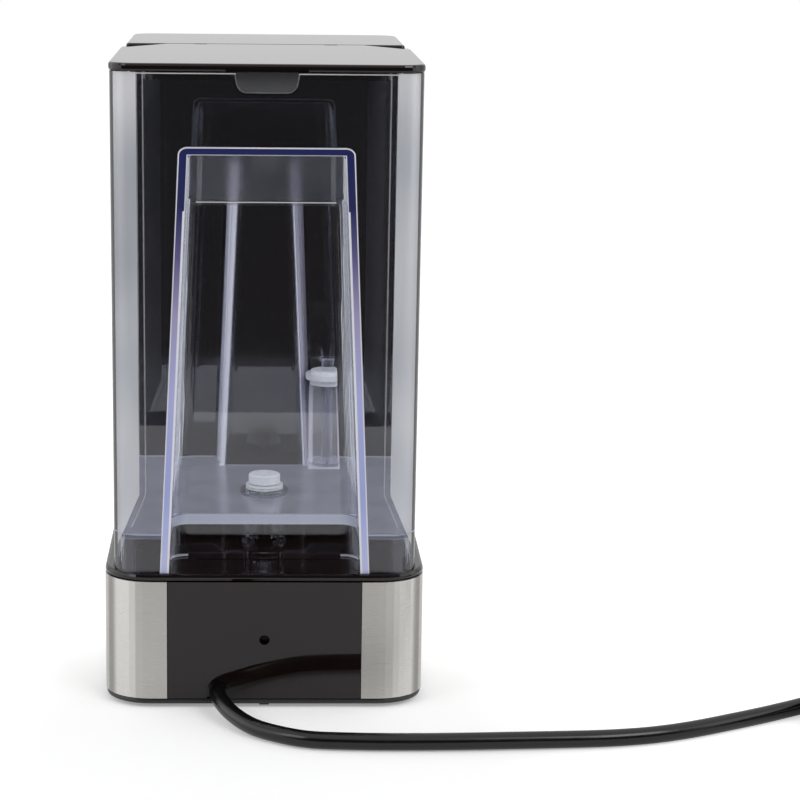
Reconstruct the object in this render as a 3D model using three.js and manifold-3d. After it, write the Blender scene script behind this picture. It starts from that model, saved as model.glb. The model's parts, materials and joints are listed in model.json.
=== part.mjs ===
// A counter-top hot water dispenser with a lift-off water tank, in millimetres.
// +Z is up, the spout and drip tray face -Y, the tank and the mains cord are at +Y.
import * as THREE from "three";
import { mergeVertices } from "three/addons/utils/BufferGeometryUtils.js";
import Module from "manifold-3d";

const wasm = await Module();
wasm.setup();

// Whole body
const bodyWidth = 165;
const bodyDepth = 270;
const bodyCorner = 24;
const bodyTop = 330;
const bodyRear = bodyDepth / 2;
const bodyFront = -bodyDepth / 2;

// Gaps and walls that many pieces share
const fitGap = 0.3;
const slideGap = 0.5;
const shaftGap = 0.1;
const overrun = 1;
const shellWall = 2.5;
const edgeRound = 1.2;
const weldDistance = 1e-4;

// Roundness of the facets
const cornerSteps = 5;
const tankCornerSteps = 8;
const edgeSteps = 2;
const roundSides = 20;
const turnedSides = 16;
const smallSides = 12;

// Base pan, band and rear panel
const footHeight = 1.5;
const footRadius = 8;
const footInset = 22;
const footStemRadius = 2.5;
const footStemHeight = 2.4;
const panRimInset = 0.5;
const panThickness = 2.9;
const panWall = 2;
const panWallTop = 62;
const glideWidth = 5;
const glideHeight = 1;
const glideDepth = 4;
const bandThickness = 1.2;
const bandTop = 67;
const rearPanelWidth = 99.4;
const rearPanelThickness = 2.4;
const panelScrewHeight = 36.4;
const screwHoleRadius = 2.7;
const screwHeadRadius = 2.4;
const screwHeadHeight = 2;
const screwShankRadius = 1.5;
const screwShankLength = 12;
const screwBossRadius = 4.5;
const screwBossLength = 9;
const screwBossFloor = 3;
const screwPostWidth = 10;
const screwPostDepth = 11;

// Deck, tank seat and drip well
const deckEdge = 1.6;
const deckTop = 71;
const tankSeatLevel = 69.5;
const tankSeatGap = 0.7;
const deckSkirtDrop = 5;
const portCollarRadius = 13;
const portCollarHeight = 0.8;
const portRecessRadius = 25;
const portRecessDepth = 0.8;
const wellWidth = 124;
const wellSetback = 7;
const wellDepth = 44;
const wellFront = bodyFront + wellSetback;
const wellRear = wellFront + wellDepth;
const wellCorner = 8;
const wellFloor = 52;
const wellWall = 2;
const columnHoleWidth = 70;
const columnHoleMargin = 5;

// Water tank
const tankRear = 131.5;
const tankFront = -28.7;
const tankBottom = 69.8;
const tankTop = 325.6;
const tankBottomWidth = 155;
const tankTopWidth = 156.8;
const tankRearCorner = 14;
const tankFrontCorner = 6;
const tankWall = 2.5;
const tankFloorTop = 93.8;
const tankFloorFall = 0.0345;
const nicheBottomWidth = 98.2;
const nicheTopWidth = 78.8;
const nicheDepth = 38;
const nicheMouthTop = 285;
const nicheTopCorner = 4;
const nicheSideWall = 4.3;
const nicheRoofWall = 3.5;
const nicheFootRelief = 1.5;
const nicheInnerTop = 257;
const nicheCorner = 9;
const grooveBottomWidth = 47.4;
const grooveTopWidth = 29.4;
const grooveMouthBottomWidth = 55;
const grooveMouthTopWidth = 40.6;
const grooveDepth = 19.2;
const grooveTop = 268;
const grooveRound = 5;
const pocketTopWidth = 31.6;
const pocketBottomWidth = 28;
const pocketBottom = 316.2;
const pocketDepth = 6.5;
const pocketWall = 1.6;
const pocketCorner = 4;

// Tank outlet valve, on its own upright axis
const valveY = 49.5;
const portInner = 9.5;
const portOuter = 11.5;
const portFoot = 1.2;
const seatBore = 8.5;
const seatRingInner = 11.2;
const seatRingOuter = 13;
const seatRingHeight = 2;
const spiderBar = 2.4;
const spiderHeight = 2;
const spiderHub = 4.4;
const valveTravel = 2.2;
const valveSeatGap = 0.2;
const sealThickness = 1;
const sealInner = 8.8;
const flangeRadius = 10;
const flangeThickness = 1;
const neckRadius = 6.5;
const neckHeight = 0.7;
const capRadius = 8.5;
const capHeight = 5;
const capBevel = 0.6;
const stemRadius = 2.2;
const stemLength = 16.5;
const clipRadius = 5.6;
const clipThickness = 1;
const clipGroove = 0.5;
const clipRise = 0.9;
const springWire = 0.45;
const springRadius = 3.9;
const springTurns = 4;
const springStepsPerTurn = 8;
const springSides = 5;

// Spigot on the deck, which the tank's port drops over
const spigotOuter = 8.6;
const spigotInner = 6.6;
const spigotTop = 79;
const spigotLedge = 65.7;
const spigotFoot = 56;
const ledgeBore = 4;
const drainRadius = 4;
const drainBore = 2.5;
const drainFoot = 50;
const spigotSealSection = 1.2;
const spigotSealHeight = 74;
const spigotSealSink = 0.6;
const pinRadius = 2;
const pinPlateThickness = 2;
const pinPlateHoleRadius = 1.4;
const pinPlateHoles = 5;

// Float
const floatX = -35.5;
const floatY = -10.5;
const floatRest = 142.1;
const floatHeight = 8;
const floatRadius = 10;
const floatFlangeRadius = 12.3;
const floatFlangeBottom = 3;
const floatFlangeHeight = 3.2;
const floatTravel = 5;
const floatStemRadius = 3.2;
const guideBaseHeight = 1.8;
const guideRadius = 10.3;
const guideFin = 1.6;
const magnetInner = 5.2;
const magnetOuter = 7.6;
const magnetHeight = 2.4;
const floatCapRadius = 4.8;
const floatCapHeight = 1.5;

// Lid
const lidThickness = bodyTop - tankTop - fitGap;
const lidOverhang = 0.4;
const lidRearCorner = 13;
const lidFrontCorner = 2;
const lidLipHeight = 4;
const lidLipWall = 1.6;
const lidLipWidth = 124;
const hingeEarX = 36;
const hingeEarWidth = 6;
const hingePinRadius = 1;
const hingePinLength = 16;
const hingeSlotReach = 5.4;
const lidNotchWidth = 41;
const lidNotchHeight = 1.5;
const lidNotchDepth = 1.6;
const lidDropWidth = 26;
const lidDropLength = 40;
const lidDrop = 1.6;

// Tower
const towerWidth = 154;
const towerRear = -30.9;
const towerFront = -78;
const towerCorner = 10;
const columnTop = 244.7;

// Head
const headSetback = 6;
const headFront = bodyFront + headSetback;
const headBottom = 245;
const headCorner = 12;
const coverEdge = 1.2;
const coverLip = 3;
const spoutSetback = 25;
const spoutY = headFront + spoutSetback;
const spoutTip = 228;
const spoutCollarRadius = 10;
const spoutCollarDrop = 12;
const spoutTipRadius = 6;
const spoutNeckRadius = 6;
const spoutNeckTop = 253;
const spoutNippleRadius = 4;
const spoutNippleTop = 261;
const spoutBore = 2.5;
const spoutNutRadius = 10.5;
const spoutNutHeight = 4;

// Control panel, knob and buttons
const panelWidth = 81.4;
const panelBottom = 254;
const panelTop = 319;
const panelCorner = 8;
const panelPlate = 2.5;
const knobHeight = 293;
const knobRadius = 19;
const knobDishRadius = 21;
const knobDishDepth = 7;
const knobDishWall = 1.6;
const knobLength = 12.5;
const knobBoreDepth = 9;
const knobGrips = 10;
const knobGripRadius = 1.2;
const gripSides = 6;
const knobMarkWidth = 1.6;
const knobMarkDepth = 0.5;
const knobShaftRadius = 3;
const knobShaftLength = 17;
const encoderSize = 14;
const encoderDepth = 6;
const encoderBore = 5;
const boardThickness = 1.6;
const controlBoardSetback = 18;
const controlBoardY = headFront + controlBoardSetback;
const controlBoardMargin = 3;
const standoffRadius = 2.5;
const buttonRise = 1.2;
const buttonTravel = 1.5;
const buttonFlange = 1.2;
const buttonFlangeReach = 1.5;
const buttonStemRadius = 2;
const startWidth = 26;
const startHeight = 9;
const startZ = 262.5;
const lockRadius = 4.2;
const lockX = 27;
const switchSize = 6;
const switchHeight = 3.5;

// Drip tray and grille
const trayTop = 70.6;
const trayWall = 1.6;
const trayFloor = 1.8;
const trayLedge = 1.6;
const grilleThickness = 1.6;
const grilleSlots = 11;
const grilleSlotWidth = 3;
const grilleSlotMargin = 7;

// Pump
const pumpX = -40;
const pumpHeight = 24;
const motorRadius = 15;
const motorRear = 32;
const motorLength = 42;
const motorBoreRadius = 1.6;
const motorBoreDepth = 12;
const motorEndCap = 4;
const motorEndRadius = 10;
const pumpHeadRadius = 17;
const pumpHeadLength = 14;
const pumpCavityRadius = 13.6;
const pumpCavityDepth = 9;
const pumpInletRadius = 4;
const pumpInletLength = 9;
const pumpInletBore = 2.5;
const impellerRadius = 12.6;
const impellerDisc = 1.5;
const impellerVanes = 6;
const impellerVaneHeight = 5;
const impellerVaneThickness = 1.4;
const impellerHub = 4;
const saddleWidth = 26;
const saddleThickness = 4;

// Heater and what it carries
const heaterY = -54.2;
const heaterBottom = 92;
const heaterLength = 120;
const heaterRadius = 18;
const heaterGrooves = 3;
const heaterGrooveDepth = 1;
const heaterGrooveWidth = 5;
const heaterNipple = 7;
const heaterNippleRadius = 4;
const clampWall = 2;
const clampHeight = 8;
const clampLugWidth = 12;
const clampStations = [0.07, 0.86];
const thermostatRadius = 8;
const thermostatHeight = 7;
const sensorWidth = 14;
const sensorHeight = 26;
const sensorDepth = 4;

// Boards and leads in the base
const powerBoardX = 42;
const powerBoardY = 30;
const powerBoardWidth = 56;
const powerBoardLength = 84;
const powerBoardLift = 13;
const boardPostRadius = 3;
const boardPostInset = 5;
const relaySize = [19, 16, 15];
const transformerSize = [24, 22, 18];
const terminalSize = [20, 12, 12];
const hoseRadius = 4;
const hoseBore = 2.4;
const hoseSides = 6;
const hoseSteps = 15;
const cableRadius = 1.8;
const cableBend = 8;
const cableRunX = 30;
const cableSides = 5;
const cableSteps = 20;
const flexSteps = 8;

// Mains cord
const cordRadius = 4.3;
const cordSides = 8;
const cordStep = 14;
const cordLift = 0.1;
const cordExitX = 24.2;
const cordExitZ = 10;
const archRadius = 5.2;
const glandRadius = 4.9;
const glandProud = 1;
const glandFlangeRadius = 7.6;
const glandFlange = 2.4;
const glandRootRadius = 6.6;
const glandInnerLength = 21;
const innerFlexRadius = 4;
const clampBlockWidth = 22;
const clampBlockDepth = 6;
const clampBlockTop = 18;

// Coil of the cord that the photograph doesn't show, its tie and its plug
const coilX = -331.3;
const coilY = 174.9;
const coilOuterRadius = 52;
const coilPitch = 9;
const coilTurns = 2.1;
const coilStartAngle = -59.6;
const coilLayerStep = 9.2;
const coilClimbTurns = 0.5;
const coilStepsPerTurn = 24;
const coilSides = 6;
const tieThickness = 1;
const tieWidth = 9;
const tieGap = 0.4;
const tieAngle = 84;
const plugRadius = 18;
const plugLength = 36;
const plugSleeveLength = 14;
const plugSleeveRadius = 6.5;
const plugWaistRadius = 13;
const plugRun = 26;
const plugPinRadius = 2.4;
const plugPinLength = 19;
const plugPinSpacing = 19;

// The cord's free stretch, chosen by hand: x, y and the lift above where the cord lies
const cordRoute = [
  [24.2, 136.3, 5.6],
  [24.2, 140.5, 5.4],
  [23.6, 148, 4.4],
  [21.2, 158, 2.8],
  [16.5, 168, 1.3],
  [8.5, 179.5, 0.3],
  [-4, 190, 0],
  [-21, 196.6, 0],
  [-43, 199.6, 0],
  [-68, 200.4, 0],
  [-95, 199.8, 0],
  [-122, 198.4, 0],
  [-147, 197, 0],
  [-169, 195.2, 0],
  [-189, 191.4, 0],
  [-205, 185.9, 0],
  [-220, 178.8, 0],
  [-236, 170, 0],
  [-254, 159.6, 0],
  [-272, 149.2, 0.4],
  [-288, 140, 1.1],
  [-297.3, 134.54, 1.3],
];

// Heights that follow from the sizes above
const panBottom = footHeight + fitGap;
const panTop = panBottom + panThickness;
const bandBottom = panTop + fitGap;
const deckBottom = bandTop + fitGap;
const towerBottom = deckTop + fitGap;
const lidBottom = tankTop + fitGap;
const tankFloorBottom = tankFloorTop - tankWall;
const tankCentreY = (tankRear + tankFront) / 2;
const tankDraft = (tankTopWidth / tankBottomWidth - 1) / (tankTop - tankBottom);
const towerBackFront = towerRear - shellWall;
const columnRear = towerBackFront - fitGap;
const guideFoot = floorAt(floatY - guideRadius) + fitGap;
const cordLie = cordRadius + cordLift;
const coilLie = cordRadius + tieThickness + tieGap;
const seatLevel = tankFloorTop + tankFloorFall * seatRingOuter;
const flangeBottom = seatLevel + valveSeatGap + valveTravel + sealThickness + fitGap;
const stemFoot = flangeBottom - stemLength;
const hingeZ = lidBottom + lidThickness / 2;
const lidFront = tankCentreY - ((tankCentreY - tankFront) * tankTopWidth) / tankBottomWidth - lidOverhang;
const lidRear = tankCentreY + ((tankRear - tankCentreY) * tankTopWidth) / tankBottomWidth + lidOverhang;
const hingeY = lidFront + lidThickness / 2;

// The tank's floor falls towards the rear, and this is its height at a given Y
function floorAt(y) {
  return tankFloorTop - tankFloorFall * (y - valveY);
}

// Materials
const blackGloss = { color: 0x0c0c0d, roughness: 0.12, metalness: 0 };
const blackSatin = { color: 0x17171a, roughness: 0.5, metalness: 0 };
const rubber = { color: 0x111112, roughness: 0.85, metalness: 0 };
const brushedSteel = { color: 0xc4c2be, roughness: 0.32, metalness: 1 };
const steel = { color: 0xb4b6b9, roughness: 0.3, metalness: 1 };
const aluminium = { color: 0xa9abad, roughness: 0.45, metalness: 1 };
const clearPlastic = { color: 0xdfe3f0, roughness: 0.05, metalness: 0, transparent: true, opacity: 0.3 };
const whitePlastic = { color: 0xe9eaec, roughness: 0.4, metalness: 0 };
const silicone = { color: 0xd9dcd8, roughness: 0.6, metalness: 0 };
const boardGreen = { color: 0x1d5a35, roughness: 0.6, metalness: 0 };
const greySatin = { color: 0x6d7073, roughness: 0.5, metalness: 0 };
const brass = { color: 0xb59a57, roughness: 0.3, metalness: 1 };

// Turning geometry into solids and back

function solidOf(geometry) {
  const bare = geometry.index ? geometry.toNonIndexed() : geometry.clone();
  bare.deleteAttribute("normal");
  bare.deleteAttribute("uv");
  const merged = mergeVertices(bare, weldDistance);
  const made = new wasm.Manifold(
    new wasm.Mesh({
      numProp: 3,
      vertProperties: merged.attributes.position.array,
      triVerts: new Uint32Array(merged.index.array),
    }),
  );
  return made;
}

function joined(...solids) {
  return solids.reduce((whole, solid) => whole.add(solid));
}

function cut(whole, ...tools) {
  return tools.reduce((rest, tool) => rest.subtract(tool), whole);
}

function geometryOf(solid) {
  const mesh = solid.getMesh();
  const positions = new Float32Array(mesh.numVert * 3);
  for (let i = 0; i < mesh.numVert; i++) {
    const at = i * mesh.numProp;
    positions.set(mesh.vertProperties.subarray(at, at + 3), i * 3);
  }
  const indexed = new THREE.BufferGeometry();
  indexed.setAttribute("position", new THREE.BufferAttribute(positions, 3));
  indexed.setIndex(new THREE.BufferAttribute(mesh.triVerts, 1));
  const faceted = indexed.toNonIndexed();
  faceted.computeVertexNormals();
  return faceted;
}

const group = new THREE.Group();

function place(name, solid, look) {
  const mesh = new THREE.Mesh(geometryOf(solid), new THREE.MeshStandardMaterial(look));
  mesh.name = name;
  group.add(mesh);
}

// Outlines and simple solids

function roundedOutline(left, right, low, high, lowRadius, highRadius = lowRadius) {
  const shape = new THREE.Shape();
  shape.moveTo(left + lowRadius, low);
  shape.lineTo(right - lowRadius, low);
  shape.absarc(right - lowRadius, low + lowRadius, lowRadius, -Math.PI / 2, 0, false);
  shape.lineTo(right, high - highRadius);
  shape.absarc(right - highRadius, high - highRadius, highRadius, 0, Math.PI / 2, false);
  shape.lineTo(left + highRadius, high);
  shape.absarc(left + highRadius, high - highRadius, highRadius, Math.PI / 2, Math.PI, false);
  shape.lineTo(left, low + lowRadius);
  shape.absarc(left + lowRadius, low + lowRadius, lowRadius, Math.PI, Math.PI * 1.5, false);
  return shape;
}

function outlineOf(points) {
  return new THREE.Shape(points.map(([x, y]) => new THREE.Vector2(x, y)));
}

// A plan outline raised from one height to another, with its edges rounded if asked
function raised(shape, bottom, top, round = 0, steps = cornerSteps) {
  const geometry = new THREE.ExtrudeGeometry(shape, {
    depth: top - bottom - 2 * round,
    bevelEnabled: round > 0,
    bevelThickness: round,
    bevelSize: round,
    bevelOffset: -round,
    bevelSegments: edgeSteps,
    curveSegments: steps,
  });
  geometry.translate(0, 0, bottom + round);
  return geometry;
}

function upright(shape, bottom, top, round = 0) {
  return solidOf(raised(shape, bottom, top, round));
}

// An outline drawn in X and Z, swept from one Y to another
function facing(shape, front, rear, round = 0) {
  const geometry = raised(shape, 0, rear - front, round);
  geometry.rotateX(Math.PI / 2);
  geometry.translate(0, rear, 0);
  return solidOf(geometry);
}

// An outline drawn in Y and Z, swept from one X to another
function sideways(shape, left, right) {
  const geometry = raised(shape, left, right);
  geometry.applyMatrix4(new THREE.Matrix4().set(0, 0, 1, 0, 1, 0, 0, 0, 0, 1, 0, 0, 0, 0, 0, 1));
  return solidOf(geometry);
}

function box(left, right, front, rear, bottom, top) {
  const geometry = new THREE.BoxGeometry(right - left, rear - front, top - bottom);
  geometry.translate((left + right) / 2, (front + rear) / 2, (bottom + top) / 2);
  return solidOf(geometry);
}

function cylinder(x, y, radius, bottom, top, sides = roundSides) {
  const geometry = new THREE.CylinderGeometry(radius, radius, top - bottom, sides);
  geometry.rotateX(Math.PI / 2);
  geometry.translate(x, y, (bottom + top) / 2);
  return solidOf(geometry);
}

function cylinderAlongY(x, z, radius, front, rear, sides = roundSides) {
  const geometry = new THREE.CylinderGeometry(radius, radius, rear - front, sides);
  geometry.translate(x, (front + rear) / 2, z);
  return solidOf(geometry);
}

function cylinderAlongX(y, z, radius, left, right, sides = smallSides) {
  const geometry = new THREE.CylinderGeometry(radius, radius, right - left, sides);
  geometry.rotateZ(Math.PI / 2);
  geometry.translate((left + right) / 2, y, z);
  return solidOf(geometry);
}

// A profile of radius and height turned round an upright axis
function turned(x, y, profile, sides = turnedSides) {
  const points = profile.map(([radius, height]) => new THREE.Vector2(radius, height));
  const geometry = new THREE.LatheGeometry(points, sides);
  geometry.rotateX(Math.PI / 2);
  geometry.translate(x, y, 0);
  return solidOf(geometry);
}

function ring(x, y, inner, outer, bottom, top, sides = turnedSides) {
  return turned(x, y, [[inner, bottom], [outer, bottom], [outer, top], [inner, top], [inner, bottom]], sides);
}

// A round section swept along a curve, hollow if a bore is given
function tubeAlong(points, radius, sides, steps, bore = 0) {
  const curve = new THREE.CatmullRomCurve3(points.map((p) => new THREE.Vector3(...p)), false, "centripetal");
  const section = new THREE.Shape(circlePoints(radius, sides));
  if (bore > 0) section.holes.push(new THREE.Path(circlePoints(bore, sides).reverse()));
  return solidOf(new THREE.ExtrudeGeometry(section, { steps, extrudePath: curve }));
}

function circlePoints(radius, sides) {
  const points = [];
  for (let i = 0; i < sides; i++) {
    const angle = (2 * Math.PI * i) / sides;
    points.push(new THREE.Vector2(radius * Math.cos(angle), radius * Math.sin(angle)));
  }
  return points;
}

// The body's plan outline, drawn in by an inset
function bodyOutline(inset) {
  const half = bodyWidth / 2 - inset;
  return roundedOutline(-half, half, bodyFront + inset, bodyRear - inset, bodyCorner - inset);
}

// Base

function footPlaces() {
  const x = bodyWidth / 2 - footInset;
  const y = bodyDepth / 2 - footInset;
  return [[-x, -y], [x, -y], [-x, y], [x, y]];
}

function makeFeet() {
  const names = ["foot_front_left", "foot_front_right", "foot_rear_left", "foot_rear_right"];
  footPlaces().forEach(([x, y], i) => {
    const disc = cylinder(x, y, footRadius, 0, footHeight, smallSides);
    const stem = cylinder(x, y, footStemRadius, footHeight / 2, footHeight + footStemHeight, smallSides);
    place(names[i], joined(disc, stem), rubber);
  });
}

function powerBoardPosts() {
  const x = powerBoardWidth / 2 - boardPostInset;
  const y = powerBoardLength / 2 - boardPostInset;
  return [[-x, -y], [x, -y], [-x, y], [x, y]].map(([dx, dy]) => [powerBoardX + dx, powerBoardY + dy]);
}

function pumpSaddles() {
  const cradle = cylinderAlongY(pumpX, pumpHeight, motorRadius + fitGap, motorRear - motorLength, motorRear);
  const half = saddleWidth / 2;
  const places = [motorRear - motorLength + motorEndCap, motorRear - 2 * saddleThickness];
  return places.map((y) =>
    cut(box(pumpX - half, pumpX + half, y, y + saddleThickness, panBottom + edgeRound, pumpHeight), cradle),
  );
}

function makeBasePan() {
  const plate = upright(bodyOutline(panRimInset), panBottom, panTop, edgeRound);
  const wallInset = bandThickness + fitGap;
  const wallLow = panTop - edgeRound;
  const wall = cut(
    upright(bodyOutline(wallInset), wallLow, panWallTop),
    upright(bodyOutline(wallInset + panWall), wallLow - overrun, panWallTop + overrun),
  );
  const half = rearPanelWidth / 2 + fitGap;
  const window = box(-half, half, bodyRear - bodyCorner / 2, bodyRear, panTop, panWallTop + overrun);
  const postRear = bodyRear - rearPanelThickness - screwBossLength - fitGap;
  const postTop = panelScrewHeight + screwBossRadius;
  const postHalf = screwPostWidth / 2;
  const post = box(-postHalf, postHalf, postRear - screwPostDepth, postRear, wallLow, postTop);
  const glideHalf = glideWidth / 2;
  const glideRear = bodyRear - panRimInset - 2 * edgeRound;
  const glide = box(
    -glideHalf, glideHalf, glideRear - glideDepth, glideRear, panBottom - glideHeight, panTop,
  );
  const boardPosts = powerBoardPosts().map(([x, y]) =>
    cylinder(x, y, boardPostRadius, wallLow, powerBoardLift - fitGap, smallSides),
  );
  const footHoles = footPlaces().map(([x, y]) =>
    cylinder(x, y, footStemRadius + fitGap, panBottom - overrun, panTop + overrun, smallSides),
  );
  const screwHole = cylinderAlongY(
    0, panelScrewHeight, screwShankRadius + shaftGap,
    postRear - screwPostDepth - overrun, postRear + overrun, smallSides,
  );
  const whole = joined(
    cut(plate, ...footHoles), cut(wall, window), post, glide, ...pumpSaddles(), ...boardPosts,
  );
  place("base_pan", cut(whole, screwHole), blackSatin);
}

function makeSteelBand() {
  const outer = upright(bodyOutline(0), bandBottom, bandTop);
  const inner = upright(bodyOutline(bandThickness), bandBottom - overrun, bandTop + overrun);
  const half = rearPanelWidth / 2 + fitGap;
  const gap = box(
    -half, half, bodyRear - bodyCorner / 2, bodyRear + overrun, bandBottom - overrun, bandTop + overrun,
  );
  place("steel_band", cut(outer, inner, gap), brushedSteel);
}

function makeRearPanel() {
  const half = rearPanelWidth / 2;
  const inside = bodyRear - rearPanelThickness;
  const plate = box(-half, half, inside, bodyRear, bandBottom, bandTop);
  const bossFront = inside - screwBossLength;
  const boss = cylinderAlongY(
    0, panelScrewHeight, screwBossRadius, bossFront, bodyRear - rearPanelThickness / 2,
  );
  const headHole = cylinderAlongY(
    0, panelScrewHeight, screwHoleRadius, bossFront + screwBossFloor, bodyRear + overrun, smallSides,
  );
  const shankHole = cylinderAlongY(
    0, panelScrewHeight, screwShankRadius + shaftGap, bossFront - overrun, bodyRear, smallSides,
  );
  const arch = cylinderAlongY(
    cordExitX, cordExitZ, archRadius, inside - overrun, bodyRear + overrun, roundSides,
  );
  const mouth = box(
    cordExitX - archRadius, cordExitX + archRadius, inside - overrun, bodyRear + overrun,
    bandBottom - overrun, cordExitZ,
  );
  place("rear_panel", cut(joined(plate, boss), headHole, shankHole, arch, mouth), blackGloss);
}

function makePanelScrew() {
  const seat = bodyRear - rearPanelThickness - screwBossLength + screwBossFloor + fitGap;
  const head = cylinderAlongY(0, panelScrewHeight, screwHeadRadius, seat, seat + screwHeadHeight, smallSides);
  const shank = cylinderAlongY(
    0, panelScrewHeight, screwShankRadius, seat - screwShankLength, seat + screwHeadHeight / 2, smallSides,
  );
  const slotHalf = screwShankRadius / 2;
  const slot = box(
    -screwHeadRadius, screwHeadRadius, seat + screwHeadHeight / 2, seat + screwHeadHeight + overrun,
    panelScrewHeight - slotHalf / 2, panelScrewHeight + slotHalf / 2,
  );
  place("panel_screw", cut(joined(head, shank), slot), steel);
}

function tankOutline(inset) {
  const half = tankBottomWidth / 2 - inset;
  return roundedOutline(
    -half, half, tankFront + inset, tankRear - inset, tankFrontCorner - Math.min(inset, tankFrontCorner / 2),
    tankRearCorner - inset,
  );
}

// The tower stands on the deck, whose drip well hangs at the front
function wellOutline(inset) {
  const half = wellWidth / 2 - inset;
  return roundedOutline(-half, half, wellFront + inset, wellRear - inset, wellCorner - inset);
}

function makeBaseDeck() {
  const plate = upright(bodyOutline(0), deckBottom, deckTop, deckEdge);
  const seat = upright(tankOutline(-tankSeatGap), tankSeatLevel, deckTop + overrun);
  const skirtInset = bandThickness + panWall + 2 * fitGap;
  const skirt = cut(
    upright(bodyOutline(skirtInset), deckBottom - deckSkirtDrop, deckBottom + deckEdge),
    upright(
      bodyOutline(skirtInset + panWall),
      deckBottom - deckSkirtDrop - overrun, deckBottom + deckEdge + overrun,
    ),
  );
  const rearHalf = rearPanelWidth / 2 + fitGap;
  const skirtGap = box(
    -rearHalf, rearHalf, bodyRear - bodyCorner / 2, bodyRear,
    deckBottom - deckSkirtDrop - overrun, deckBottom,
  );
  const well = upright(wellOutline(0), wellFloor, deckTop - deckEdge);
  const wellSpace = upright(wellOutline(wellWall), wellFloor + wellWall, deckTop + overrun);
  const columnHalf = columnHoleWidth / 2;
  const columnHole = box(
    -columnHalf, columnHalf, towerFront + shellWall + columnHoleMargin, columnRear - columnHoleMargin,
    deckBottom - overrun, deckTop + overrun,
  );
  const recess = ring(
    0, valveY, portCollarRadius, portRecessRadius, tankSeatLevel - portRecessDepth, deckTop,
  );
  const collar = ring(
    0, valveY, spigotInner + shellWall / 2, portCollarRadius,
    deckBottom + deckEdge / 2, tankSeatLevel + portCollarHeight,
  );
  const spigot = turned(0, valveY, [
    [spigotInner, spigotLedge],
    [ledgeBore, spigotLedge],
    [ledgeBore, spigotFoot + shellWall],
    [drainBore, spigotFoot + shellWall],
    [drainBore, drainFoot],
    [drainRadius, drainFoot],
    [drainRadius, spigotFoot],
    [spigotOuter, spigotFoot],
    [spigotOuter, spigotSealHeight - spigotSealSection],
    [spigotOuter - spigotSealSink, spigotSealHeight - spigotSealSection],
    [spigotOuter - spigotSealSink, spigotSealHeight + spigotSealSection],
    [spigotOuter, spigotSealHeight + spigotSealSection],
    [spigotOuter, spigotTop],
    [spigotInner, spigotTop],
    [spigotInner, spigotLedge],
  ]);
  const spigotHole = cylinder(
    0, valveY, spigotInner + shellWall / 2, deckBottom - overrun, deckTop + overrun,
  );
  const deck = cut(
    joined(plate, cut(skirt, skirtGap), well), seat, wellSpace, columnHole, recess, spigotHole,
  );
  place("base_deck", joined(deck, collar, spigot), blackGloss);
}

function makeValvePin() {
  const low = spigotLedge + fitGap;
  const pinTop = stemFoot - fitGap;
  const plate = cylinder(0, valveY, spigotInner - fitGap, low, low + pinPlateThickness);
  const pin = cylinder(0, valveY, pinRadius, low, pinTop, smallSides);
  const reach = (spigotInner + pinRadius) / 2;
  const holes = [];
  for (let i = 0; i < pinPlateHoles; i++) {
    const angle = (2 * Math.PI * i) / pinPlateHoles;
    const x = reach * Math.cos(angle);
    const y = valveY + reach * Math.sin(angle);
    holes.push(
      cylinder(x, y, pinPlateHoleRadius, low - overrun, low + pinPlateThickness + overrun, smallSides),
    );
  }
  place("valve_pin", joined(cut(plate, ...holes), pin), whitePlastic);
}

function makeSpigotSeal() {
  const inner = spigotOuter - spigotSealSink + shaftGap;
  const outer = portInner - shaftGap;
  const half = spigotSealSection - shaftGap;
  const seal = ring(0, valveY, inner, outer, spigotSealHeight - half, spigotSealHeight + half);
  place("spigot_seal", seal, silicone);
}

// Water tank

// Scales a solid's plan about the tank's axis, so that it widens from the foot up,
// and tilts the face at one level to the fall of the floor
function drafted(geometry, slopedLevel = null) {
  const position = geometry.attributes.position;
  for (let i = 0; i < position.count; i++) {
    const scale = 1 + tankDraft * (position.getZ(i) - tankBottom);
    position.setX(i, position.getX(i) * scale);
    position.setY(i, tankCentreY + (position.getY(i) - tankCentreY) * scale);
    if (Math.abs(position.getZ(i) - slopedLevel) < weldDistance) {
      position.setZ(i, slopedLevel + floorAt(position.getY(i)) - tankFloorTop);
    }
  }
  return solidOf(geometry);
}

// Narrows a solid's plan with height, from one half width at the tank's foot to another at a height
function tapered(geometry, footHalf, topHalf, top) {
  const position = geometry.attributes.position;
  for (let i = 0; i < position.count; i++) {
    const share = (position.getZ(i) - tankBottom) / (top - tankBottom);
    position.setX(i, position.getX(i) * (1 + (topHalf / footHalf - 1) * share));
  }
  return geometry;
}

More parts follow.
